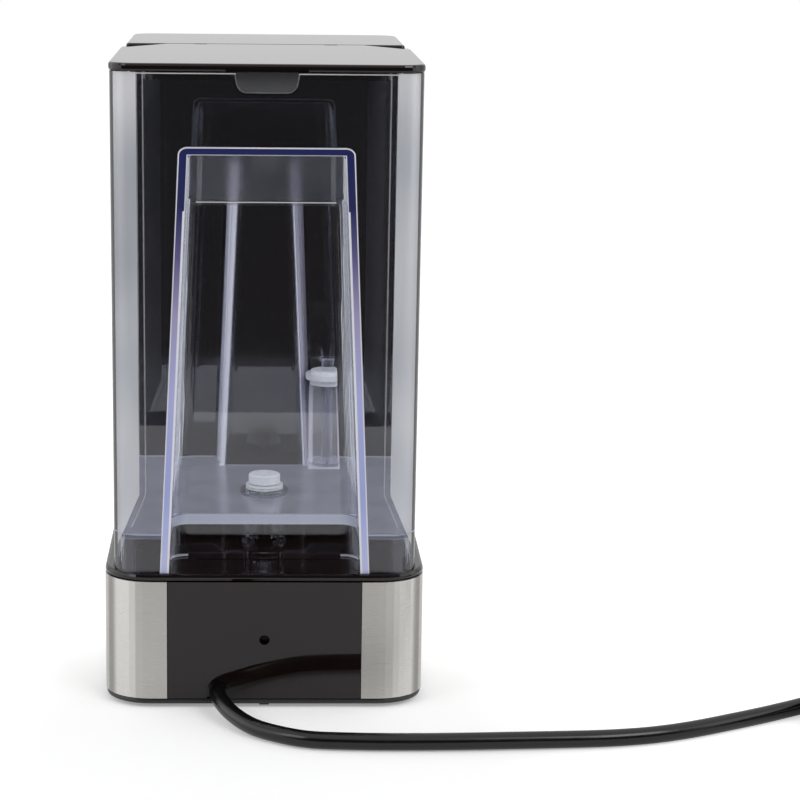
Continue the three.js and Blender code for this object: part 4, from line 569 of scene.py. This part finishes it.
def grey_plastic():
    return even_finish(
        "grey_plastic",
        {"IOR": 1.5},
        tint=(80, 3, (0.09, 0.095, 0.1), (0.13, 0.135, 0.14)),
        roughness=(500, 2, 0.34, 0.48),
        grain=(1800, 2, 0.3),
    )


def silicone():
    depths = (SILICONE_DEPTH, SILICONE_DEPTH, SILICONE_DEPTH)
    return even_finish(
        "silicone",
        {"IOR": 1.42, "Subsurface Weight": 0.3, "Subsurface Radius": depths},
        tint=(110, 3, (0.5, 0.54, 0.52), (0.62, 0.66, 0.63)),
        roughness=(400, 2, 0.3, 0.45),
        grain=(900, 2, 0.2),
    )


def board():
    return even_finish(
        "board",
        {"IOR": 1.5},
        tint=(240, 4, (0.005, 0.055, 0.02), (0.012, 0.09, 0.035)),
        roughness=(600, 3, 0.25, 0.45),
        grain=(1200, 2, 0.4),
    )


# Zones of the clear plastic, each 1 within and 0 elsewhere

def niche_side(tree, x, z):
    """How far a point lies outside the niche's side faces."""
    half = sloped(tree, z, (TANK_FOOT, NICHE_FOOT_HALF), (NICHE_TOP, NICHE_TOP_HALF))
    return calculated(tree, "SUBTRACT", unsigned(tree, x), half)


def niche_rim(tree, x, y, z):
    """The end of the niche's thick walls at the tank's rear, and its painted lines of light, painted pale
    inner side and painted highlight at its head.
    """
    across = niche_side(tree, x, z)
    above = calculated(tree, "SUBTRACT", z, NICHE_TOP)
    above = calculated(tree, "MULTIPLY", above, NICHE_SIDE_WALL / NICHE_ROOF_WALL)
    outward = past_corner(tree, across, above)
    at_rear = rising(tree, y, TANK_REAR - RIM_DEPTH - FADE, TANK_REAR - RIM_DEPTH)
    rim = product(tree, between(tree, outward, 0.0, NICHE_SIDE_WALL), at_rear)
    # Painted lines of light at both edges of the rim, a painted pale inner side low down and a painted
    # highlight along the head
    inner = edge(tree, outward, 0.0)
    outer = edge(tree, outward, NICHE_SIDE_WALL)
    lines = product(tree, calculated(tree, "MAXIMUM", inner, outer), at_rear)
    low = rising(tree, z, NICHE_INNER_TOP + FADE, NICHE_INNER_TOP - FADE)
    pale = product(tree, between(tree, across, 0.0, NICHE_SIDE_WALL / 4), at_rear, low)
    behind = between(tree, y, TANK_REAR - RIM_DEPTH - NICHE_ROOF_WALL, TANK_REAR - RIM_DEPTH)
    over = between(tree, outward, NICHE_SIDE_WALL - 4 * FADE, NICHE_SIDE_WALL + 2 * FADE)
    high = rising(tree, z, NICHE_INNER_TOP, NICHE_TOP)
    return rim, lines, pale, product(tree, behind, over, high)


def niche_ceiling(tree, x, y, z):
    """The sloping ceiling of the niche, the painted line of light along its foot, the side faces that it
    meets, which are painted pale, and painted bright strips in the ceiling near them.
    """
    slope = (NICHE_TOP - NICHE_INNER_TOP) / (TANK_REAR - NICHE_BACK)
    height = calculated(tree, "SUBTRACT", z, calculated(tree, "MULTIPLY", y, slope))
    foot = NICHE_INNER_TOP - slope * NICHE_BACK
    across = niche_side(tree, x, z)
    inside = rising(tree, across, FADE, -FADE)
    deep = between(tree, y, NICHE_BACK - TANK_WALL, TANK_REAR - RIM_DEPTH)
    slab = product(tree, between(tree, height, foot, foot + NICHE_ROOF_WALL), inside, deep)
    at_back = between(tree, y, NICHE_BACK - TANK_WALL / 4, NICHE_BACK + TANK_WALL / 4)
    line = product(tree, edge(tree, z, NICHE_INNER_TOP), at_back, inside)
    high = rising(tree, z, NICHE_INNER_TOP, NICHE_INNER_TOP + TANK_WALL)
    under = rising(tree, height, foot + NICHE_ROOF_WALL, foot)
    sides = product(tree, between(tree, across, -2 * FADE, 2 * FADE), high, under, deep)
    painted_light_strip = between(tree, across, -3 * TANK_WALL, -2 * TANK_WALL)
    return slab, line, sides, product(tree, painted_light_strip, slab)


def floor_level(tree, y, z):
    """A height with the tank floor's fall to the rear taken out, true at the valve."""
    fall = calculated(tree, "MULTIPLY", calculated(tree, "SUBTRACT", y, VALVE_Y), FLOOR_FALL)
    return calculated(tree, "ADD", z, fall)


def niche_foot(tree, x, y, z):
    """The band where the tank's floor ends at the niche's back wall, painted light, and the painted lines
    of light that edge it.
    """
    inside = rising(tree, niche_side(tree, x, z), TANK_WALL, TANK_WALL - FADE)
    at_back = between(tree, y, NICHE_BACK - TANK_WALL - FADE, TANK_REAR - 2 * TANK_WALL)
    level = floor_level(tree, y, z)
    # The band and its edging lines are painted light
    band = product(tree, between(tree, level, FLOOR_TOP - 2 * TANK_WALL, FLOOR_TOP), inside, at_back)
    top = edge(tree, level, FLOOR_TOP)
    bottom = edge(tree, level, FLOOR_TOP - 2 * TANK_WALL)
    lowest = edge(tree, z, TANK_FOOT + 2 * EDGE_LINE)
    lines = calculated(tree, "MAXIMUM", calculated(tree, "MAXIMUM", top, bottom), lowest)
    return band, product(tree, lines, inside, at_back)


def tank_floor(tree, x, y, z):
    """The grained floor of the tank, and the painted line of light where it meets the walls."""
    level = floor_level(tree, y, z)
    slab = between(tree, level, FLOOR_TOP - TANK_WALL - FADE, FLOOR_TOP + FADE)
    inside = rising(tree, unsigned(tree, x), TANK_HALF + FADE, TANK_HALF)
    ahead = between(tree, y, TANK_FRONT + TANK_WALL, TANK_REAR - TANK_WALL)
    around = calculated(tree, "SUBTRACT", 1.0, product(tree, inside, ahead))
    return product(tree, slab, inside, ahead), product(tree, edge(tree, level, FLOOR_TOP), around)


def groove_sides(tree, x, y, z):
    """The side walls of the thumb groove, painted light and lighter on the left, and the painted line of
    light along the groove's tip.
    """
    width = unsigned(tree, x)
    tip = sloped(tree, z, (TANK_FOOT, GROOVE_FOOT_HALF), (GROOVE_TOP, GROOVE_TOP_HALF))
    mouth = sloped(tree, z, (TANK_FOOT, GROOVE_MOUTH_FOOT_HALF), (GROOVE_TOP, GROOVE_MOUTH_TOP_HALF))
    past_tip = calculated(tree, "SUBTRACT", width, tip)
    past_mouth = calculated(tree, "SUBTRACT", width, mouth)
    front = rising(tree, y, GROOVE_TIP + TANK_WALL + FADE, GROOVE_TIP + TANK_WALL)
    below = rising(tree, z, GROOVE_TOP + TANK_WALL, GROOVE_TOP)
    over = rising(tree, z, FLOOR_TOP, FLOOR_TOP + TANK_WALL)
    start = rising(tree, past_tip, 0.0, FADE)
    end = rising(tree, past_mouth, -TANK_WALL / 2, -TANK_WALL * 3 / 4)
    walls = product(tree, start, end, front, below, over)
    # The left walls get more painted light
    left = rising(tree, x, -FADE, FADE)
    return walls, product(tree, walls, left), product(tree, edge(tree, past_tip, 0.0), front, below, over)


def finger_pocket(tree, x, y, z):
    """The back wall of the finger pocket under the lid, and the painted line of light around its mouth."""
    half = sloped(tree, z, (POCKET_BOTTOM, POCKET_FOOT_HALF), (TANK_TOP, POCKET_TOP_HALF))
    across = calculated(tree, "SUBTRACT", unsigned(tree, x), half)
    beneath = calculated(tree, "SUBTRACT", POCKET_BOTTOM, z)
    across = calculated(tree, "ADD", across, POCKET_CORNER)
    beneath = calculated(tree, "ADD", beneath, POCKET_CORNER)
    outward = calculated(tree, "SUBTRACT", past_corner(tree, across, beneath), POCKET_CORNER)
    back = between(tree, y, POCKET_BACK - POCKET_WALL, POCKET_BACK)
    mouth = rising(tree, y, TANK_REAR - TANK_WALL, TANK_REAR - TANK_WALL + FADE)
    inside = rising(tree, outward, FADE, 0.0)
    return product(tree, inside, back), product(tree, edge(tree, outward, EDGE_LINE), mouth)


def rear_corners(tree, x, y, z):
    """The round rear corners, painted bright and narrowing to the floor, a painted line of light inside
    each and a painted dark line of shade outside.
    """
    low = (TANK_FOOT, TANK_FOOT_WIDTH / 2 - TANK_CORNER)
    high = (TANK_TOP, TANK_TOP_WIDTH / 2 - TANK_CORNER)
    into = calculated(tree, "SUBTRACT", unsigned(tree, x), sloped(tree, z, low, high))
    curve = calculated(tree, "MAXIMUM", sloped(tree, z, CORNER_TURN, CORNER_FOOT), 0.0)
    rear = rising(tree, y, TANK_REAR - TANK_CORNER, TANK_REAR - TANK_CORNER + TANK_WALL)
    start = rising(tree, calculated(tree, "SUBTRACT", into, curve), 0.0, 2 * FADE)
    end = rising(tree, into, TANK_CORNER - DARK_LINE + FADE, TANK_CORNER - DARK_LINE)
    line = edge(tree, calculated(tree, "SUBTRACT", into, curve), -LIGHT_LINE_INSET)
    dark = between(tree, into, TANK_CORNER - DARK_LINE, TANK_CORNER - 2 * FADE)
    over = rising(tree, z, FLOOR_TOP, FLOOR_TOP + TANK_WALL)
    return product(tree, start, end, rear), product(tree, line, rear, over), product(tree, dark, rear)


def top_light_line(tree, y, z):
    """The painted line of light along the tank's rear rim, just under the lid."""
    line = edge(tree, z, TANK_TOP - 2 * EDGE_LINE)
    return product(tree, line, rising(tree, y, TANK_REAR - TANK_WALL, TANK_REAR))


def float_cage(tree, x, y, z):
    """The clear cage that the float stands on, and its sides, painted with more light."""
    across = unsigned(tree, calculated(tree, "SUBTRACT", x, FLOAT_AXIS[0]))
    along = unsigned(tree, calculated(tree, "SUBTRACT", y, FLOAT_AXIS[1]))
    both = (rising(tree, length, FLOAT_CAGE + FADE, FLOAT_CAGE) for length in (across, along))
    inside = product(tree, *both)
    over = between(tree, z, FLOOR_TOP + 2 * FADE, FLOAT_REST)
    cage = product(tree, inside, over)
    return cage, product(tree, cage, rising(tree, across, FLOAT_CAGE * 2 / 3, FLOAT_CAGE * 5 / 6))


def rim_blue_and_painted_light(tree, z):
    """The plastic's blue with painted light and shade: dark blue at the head of the niche, lilac below it
    and pale blue at its foot.
    """
    share = tree.nodes.new("ShaderNodeMapRange")
    share.inputs["From Min"].default_value = TANK_FOOT
    share.inputs["From Max"].default_value = NICHE_TOP
    tree.links.new(z, share.inputs["Value"])
    ramp = tree.nodes.new("ShaderNodeValToRGB")
    stops = [
        (0.0, (0.5, 0.53, 0.8)),
        (0.2, (0.33, 0.38, 0.68)),
        (0.42, (0.4, 0.42, 0.72)),
        (0.62, (0.34, 0.31, 0.5)),
        (0.76, (0.11, 0.1, 0.25)),
        (0.88, (0.018, 0.022, 0.1)),
        (1.0, (0.014, 0.018, 0.1)),
    ]
    for _ in range(len(stops) - 2):
        ramp.color_ramp.elements.new(0.5)
    for element, (position, colour) in zip(ramp.color_ramp.elements, stops):
        element.position = position
        element.color = (*colour, 1)
    tree.links.new(share.outputs["Result"], ramp.inputs["Fac"])
    return ramp.outputs["Color"]


def clear_plastic():
    """Clear moulded plastic, blue in the thick, clouded on its grained floor, and clouded with painted
    light and shade on its edges, faces and corners.
    """
    material, tree, shader = new_finish("clear_plastic", {"IOR": 1.5})
    x, y, z = rest_point(tree)
    rim, rim_light_lines, rim_painted_pale, rim_head_highlight = niche_rim(tree, x, y, z)
    ceiling, ceiling_light_line, painted_pale_side_faces, painted_light_strips = niche_ceiling(tree, x, y, z)
    foot, foot_light_lines = niche_foot(tree, x, y, z)
    floor, floor_light_lines = tank_floor(tree, x, y, z)
    groove, left_groove_painted_light, groove_light_lines = groove_sides(tree, x, y, z)
    pocket, pocket_light_line = finger_pocket(tree, x, y, z)
    corners, corner_light_lines, corner_shades = rear_corners(tree, x, y, z)
    cage, cage_painted_light_sides = float_cage(tree, x, y, z)
    # A painted sheen of light for the rear corners
    painted_corner_sheen = mottled(tree, noise(tree, 12, 1), (0.5, 0.53, 0.56), (0.88, 0.87, 0.88))
    grained = mottled(tree, noise(tree, 55, 4), (0.22, 0.225, 0.27), (0.29, 0.295, 0.35))
    # Each zone's share, colour and haze, with the later ones over the earlier. All but the grained floor,
    # the ceiling, the pocket and the cage are painted light and shade: the lines, strips, faces and bands,
    # the groove walls, the corners and the rim, whose colour is also the plastic's blue.
    zones = [
        (floor, grained, 0.7),
        (groove, (0.55, 0.53, 0.62), 0.4),
        (left_groove_painted_light, (0.9, 0.89, 0.95), 0.75),
        (groove_light_lines, (0.9, 0.89, 0.95), 0.7),
        (foot, (0.52, 0.55, 0.67), 0.75),
        (foot_light_lines, (0.7, 0.72, 0.8), 0.45),
        (ceiling, (0.2, 0.19, 0.22), 0.05),
        (painted_light_strips, (0.55, 0.54, 0.55), 0.35),
        (painted_pale_side_faces, (0.9, 0.89, 0.89), 0.9),
        (ceiling_light_line, (0.9, 0.9, 0.88), 0.8),
        (pocket, (0.4, 0.4, 0.42), 0.12),
        (pocket_light_line, (0.5, 0.5, 0.52), 0.25),
        (corners, painted_corner_sheen, 0.43),
        (corner_light_lines, (0.6, 0.6, 0.62), 0.25),
        (corner_shades, (0.02, 0.02, 0.022), 0.8),
        (floor_light_lines, (0.6, 0.62, 0.7), 0.5),
        (top_light_line(tree, y, z), (0.8, 0.82, 0.84), 0.5),
        (cage, (0.75, 0.75, 0.8), 0.1),
        (cage_painted_light_sides, (0.8, 0.8, 0.84), 0.45),
        (rim_head_highlight, (0.85, 0.83, 0.84), 0.85),
        (rim, rim_blue_and_painted_light(tree, z), 0.85),
        (rim_painted_pale, (0.75, 0.74, 0.8), 0.8),
        (rim_light_lines, (0.85, 0.85, 0.9), 0.75),
    ]
    colour = mottled(tree, noise(tree, 30, 2), (0.955, 0.96, 0.985), (0.985, 0.985, 0.995))
    haze_and_painted_light = 0.0
    for share, tone, strength in zones:
        colour = tinted(tree, share, colour, tone)
        haze_and_painted_light = calculated(tree, "MAXIMUM", calculated(tree, "MULTIPLY", share, strength), haze_and_painted_light)
    tree.links.new(colour, shader.inputs["Base Color"])
    tree.links.new(blended(tree, haze_and_painted_light, 1.0, 0.0), shader.inputs["Transmission Weight"])
    worn = ranged(tree, noise(tree, 90, 3), 0.0, 0.02)
    frosted = blended(tree, ceiling, worn, 0.22)
    tree.links.new(blended(tree, haze_and_painted_light, frosted, 0.3), shader.inputs["Roughness"])
    relief(tree, shader, noise(tree, 28, 1), RELIEF_HEIGHTS["clear_plastic"], 0.2)
    absorption = tree.nodes.new("ShaderNodeVolumeAbsorption")
    absorption.inputs["Color"].default_value = TANK_BLUE
    absorption.inputs["Density"].default_value = TANK_BLUE_DENSITY
    output = next(node for node in tree.nodes if node.bl_idname == "ShaderNodeOutputMaterial")
    tree.links.new(absorption.outputs["Volume"], output.inputs["Volume"])
    return material


FINISHES = [
    black_gloss,
    black_satin,
    black_rubber,
    brushed_steel,
    plain_steel,
    aluminium,
    brass,
    white_plastic,
    grey_plastic,
    silicone,
    board,
    clear_plastic,
]


# Modifiers

def smooth_by_angle():
    """A node group that shades faces smooth and keeps the edges over an angle sharp."""
    group = bpy.data.node_groups.new("smooth_by_angle", "GeometryNodeTree")
    group.interface.new_socket(name="Geometry", in_out="INPUT", socket_type="NodeSocketGeometry")
    group.interface.new_socket(name="Geometry", in_out="OUTPUT", socket_type="NodeSocketGeometry")
    start = group.nodes.new("NodeGroupInput")
    end = group.nodes.new("NodeGroupOutput")
    faces = group.nodes.new("GeometryNodeSetShadeSmooth")
    faces.domain = "FACE"
    edges = group.nodes.new("GeometryNodeSetShadeSmooth")
    edges.domain = "EDGE"
    angle = group.nodes.new("GeometryNodeInputMeshEdgeAngle")
    below = group.nodes.new("FunctionNodeCompare")
    below.data_type = "FLOAT"
    below.operation = "LESS_EQUAL"
    below.inputs["B"].default_value = math.radians(SMOOTH_ANGLE)
    group.links.new(start.outputs["Geometry"], faces.inputs["Geometry"])
    group.links.new(faces.outputs["Geometry"], edges.inputs["Geometry"])
    group.links.new(angle.outputs["Unsigned Angle"], below.inputs["A"])
    group.links.new(below.outputs["Result"], edges.inputs["Shade Smooth"])
    group.links.new(edges.outputs["Geometry"], end.inputs["Geometry"])
    return group


def soften(piece, width):
    """A narrow bevel along the piece's sharp edges."""
    bevel = piece.modifiers.new("edge", "BEVEL")
    bevel.width = width
    bevel.segments = BEVEL_STEPS
    bevel.limit_method = "ANGLE"
    bevel.angle_limit = math.radians(BEVEL_ANGLE)


# Scene pieces

def make_camera():
    """The camera of the photograph: turned by yaw, pitch and roll, and shifted to one side."""
    yaw, pitch, roll = (math.radians(a) for a in (CAMERA_YAW, CAMERA_PITCH, CAMERA_ROLL))
    forward = Vector((
        -math.sin(yaw) * math.cos(pitch),
        -math.cos(yaw) * math.cos(pitch),
        -math.sin(pitch),
    ))
    right = Vector((-math.cos(yaw), math.sin(yaw), 0))
    up = right.cross(forward)
    across = right * math.cos(roll) + up * math.sin(roll)
    above = up * math.cos(roll) - right * math.sin(roll)
    data = bpy.data.cameras.new("camera")
    data.lens = CAMERA_LENS
    data.sensor_width = CAMERA_SENSOR
    data.shift_x = CAMERA_SHIFT
    data.clip_end = CAMERA_FAR
    camera = bpy.data.objects.new("camera", data)
    turned = Matrix((across, above, -forward)).transposed().to_4x4()
    camera.matrix_world = Matrix.Translation(CAMERA_PLACE) @ turned
    bpy.context.scene.collection.objects.link(camera)
    bpy.context.scene.camera = camera


def make_cord(finish):
    """The whole cord as one tube, in place of the two plain solids."""
    path = cord_path()
    cord = tube_object("mains_cord", path, CORD_RADIUS, CORD_SIDES)
    cord.data.materials.append(finish)
    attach(cord, "base")
    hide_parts("cord_lead", "cord_coil")


def make_floor():
    """A plain pale floor that keeps the object's shadow and shows white behind it, with a painted shadow
    where it glows less near the object.
    """
    corners = [
        (-FLOOR_HALF, -FLOOR_HALF, -FLOOR_DROP),
        (FLOOR_HALF, -FLOOR_HALF, -FLOOR_DROP),
        (FLOOR_HALF, FLOOR_NEAR_EDGE, -FLOOR_DROP),
        (-FLOOR_HALF, FLOOR_NEAR_EDGE, -FLOOR_DROP),
    ]
    mesh = bpy.data.meshes.new("floor")
    mesh.from_pydata(corners, [], [(0, 1, 2, 3)])
    floor = bpy.data.objects.new("floor", mesh)
    bpy.context.scene.collection.objects.link(floor)
    material = bpy.data.materials.new("floor")
    material.use_nodes = True
    tree = material.node_tree
    tree.nodes.clear()
    output = tree.nodes.new("ShaderNodeOutputMaterial")
    matt = tree.nodes.new("ShaderNodeBsdfDiffuse")
    matt.inputs["Color"].default_value = (FLOOR_GREY, FLOOR_GREY, FLOOR_GREY, 1)
    glow = tree.nodes.new("ShaderNodeEmission")
    both = tree.nodes.new("ShaderNodeAddShader")
    mirrored = blended(tree, any_of(tree, "Is Glossy Ray", "Is Transmission Ray"), 0.0, FLOOR_GLOW_MIRRORED)
    coordinates = tree.nodes.new("ShaderNodeTexCoord")
    distance = tree.nodes.new("ShaderNodeVectorMath")
    distance.operation = "DISTANCE"
    distance.inputs[1].default_value = PAINTED_SHADOW_CENTRE
    tree.links.new(coordinates.outputs["Object"], distance.inputs[0])
    # Less glow near the object: a painted shadow
    far = rising(tree, distance.outputs["Value"], *PAINTED_SHADOW_FADE)
    glow_with_painted_shadow = blended(tree, far, FLOOR_GLOW_IN_PAINTED_SHADOW, FLOOR_GLOW_FAR)
    seen = blended(tree, any_of(tree, "Is Camera Ray"), mirrored, glow_with_painted_shadow)
    tree.links.new(seen, glow.inputs["Strength"])
    tree.links.new(matt.outputs["BSDF"], both.inputs[0])
    tree.links.new(glow.outputs["Emission"], both.inputs[1])
    tree.links.new(both.outputs["Shader"], output.inputs["Surface"])
    mesh.materials.append(material)


def make_sky():
    """A white studio, even on lit surfaces; gloss and glass see its dim side low behind the camera."""
    world = bpy.data.worlds.new("studio")
    world.use_nodes = True
    tree = world.node_tree
    tree.nodes.clear()
    output = tree.nodes.new("ShaderNodeOutputWorld")
    background = tree.nodes.new("ShaderNodeBackground")
    background.inputs["Color"].default_value = (1, 1, 1, 1)
    coordinates = tree.nodes.new("ShaderNodeTexCoord")
    parts = tree.nodes.new("ShaderNodeSeparateXYZ")
    tree.links.new(coordinates.outputs["Generated"], parts.inputs["Vector"])
    near_side = rising(tree, parts.outputs["Y"], *DIM_SIDE)
    overhead = rising(tree, parts.outputs["Z"], *BRIGHT_TOP)
    low_room = blended(tree, near_side, SKY_MIRRORED, SKY_DIM)
    mirrored = calculated(tree, "MAXIMUM", low_room, overhead)
    through = any_of(tree, "Is Glossy Ray", "Is Transmission Ray")
    lit = blended(tree, through, SKY_LIT, mirrored)
    seen = blended(tree, any_of(tree, "Is Camera Ray"), lit, 1.0)
    tree.links.new(seen, background.inputs["Strength"])
    tree.links.new(background.outputs["Background"], output.inputs["Surface"])
    bpy.context.scene.world = world


def make_lamp(name, place, size, power):
    """A softbox that faces the object."""
    data = bpy.data.lights.new(name, "AREA")
    data.shape = "RECTANGLE"
    data.size, data.size_y = size
    data.energy = power
    lamp = bpy.data.objects.new(name, data)
    lamp.location = place
    lamp.rotation_euler = (Vector(AIM) - Vector(place)).to_track_quat("-Z", "Y").to_euler()
    bpy.context.scene.collection.objects.link(lamp)


def dress(frame, finishes):
    """Each CAD node takes the finish of its slot, smooth shading and, where it shows, softer edges."""
    group = smooth_by_angle()
    for part in frame["record"]["subparts"]:
        piece = frame["nodes"][part["node"]]
        piece.data.materials.clear()
        piece.data.materials.append(finishes[part["material_slot"]])
        if piece.name in BEVELS:
            soften(piece, BEVELS[piece.name])
        piece.modifiers.new("shading", "NODES").node_group = group


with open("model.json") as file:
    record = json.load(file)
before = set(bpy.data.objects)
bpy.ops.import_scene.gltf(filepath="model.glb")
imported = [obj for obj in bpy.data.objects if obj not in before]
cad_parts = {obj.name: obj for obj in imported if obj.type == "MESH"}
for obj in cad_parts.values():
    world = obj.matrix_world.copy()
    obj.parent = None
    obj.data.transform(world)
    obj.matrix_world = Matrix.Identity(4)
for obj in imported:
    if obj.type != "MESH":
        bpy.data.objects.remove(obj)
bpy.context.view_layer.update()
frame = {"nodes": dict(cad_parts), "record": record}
make_camera()
finishes = {make.__name__: make() for make in FINISHES}
make_cord(finishes["black_rubber"])
dress(frame, finishes)
make_floor()
make_sky()
for name, lamp in LAMPS.items():
    make_lamp(name, **lamp)
for name in UNSHADOWED:
    frame["nodes"][name].visible_shadow = False
bpy.context.scene.view_settings.view_transform = "Standard"
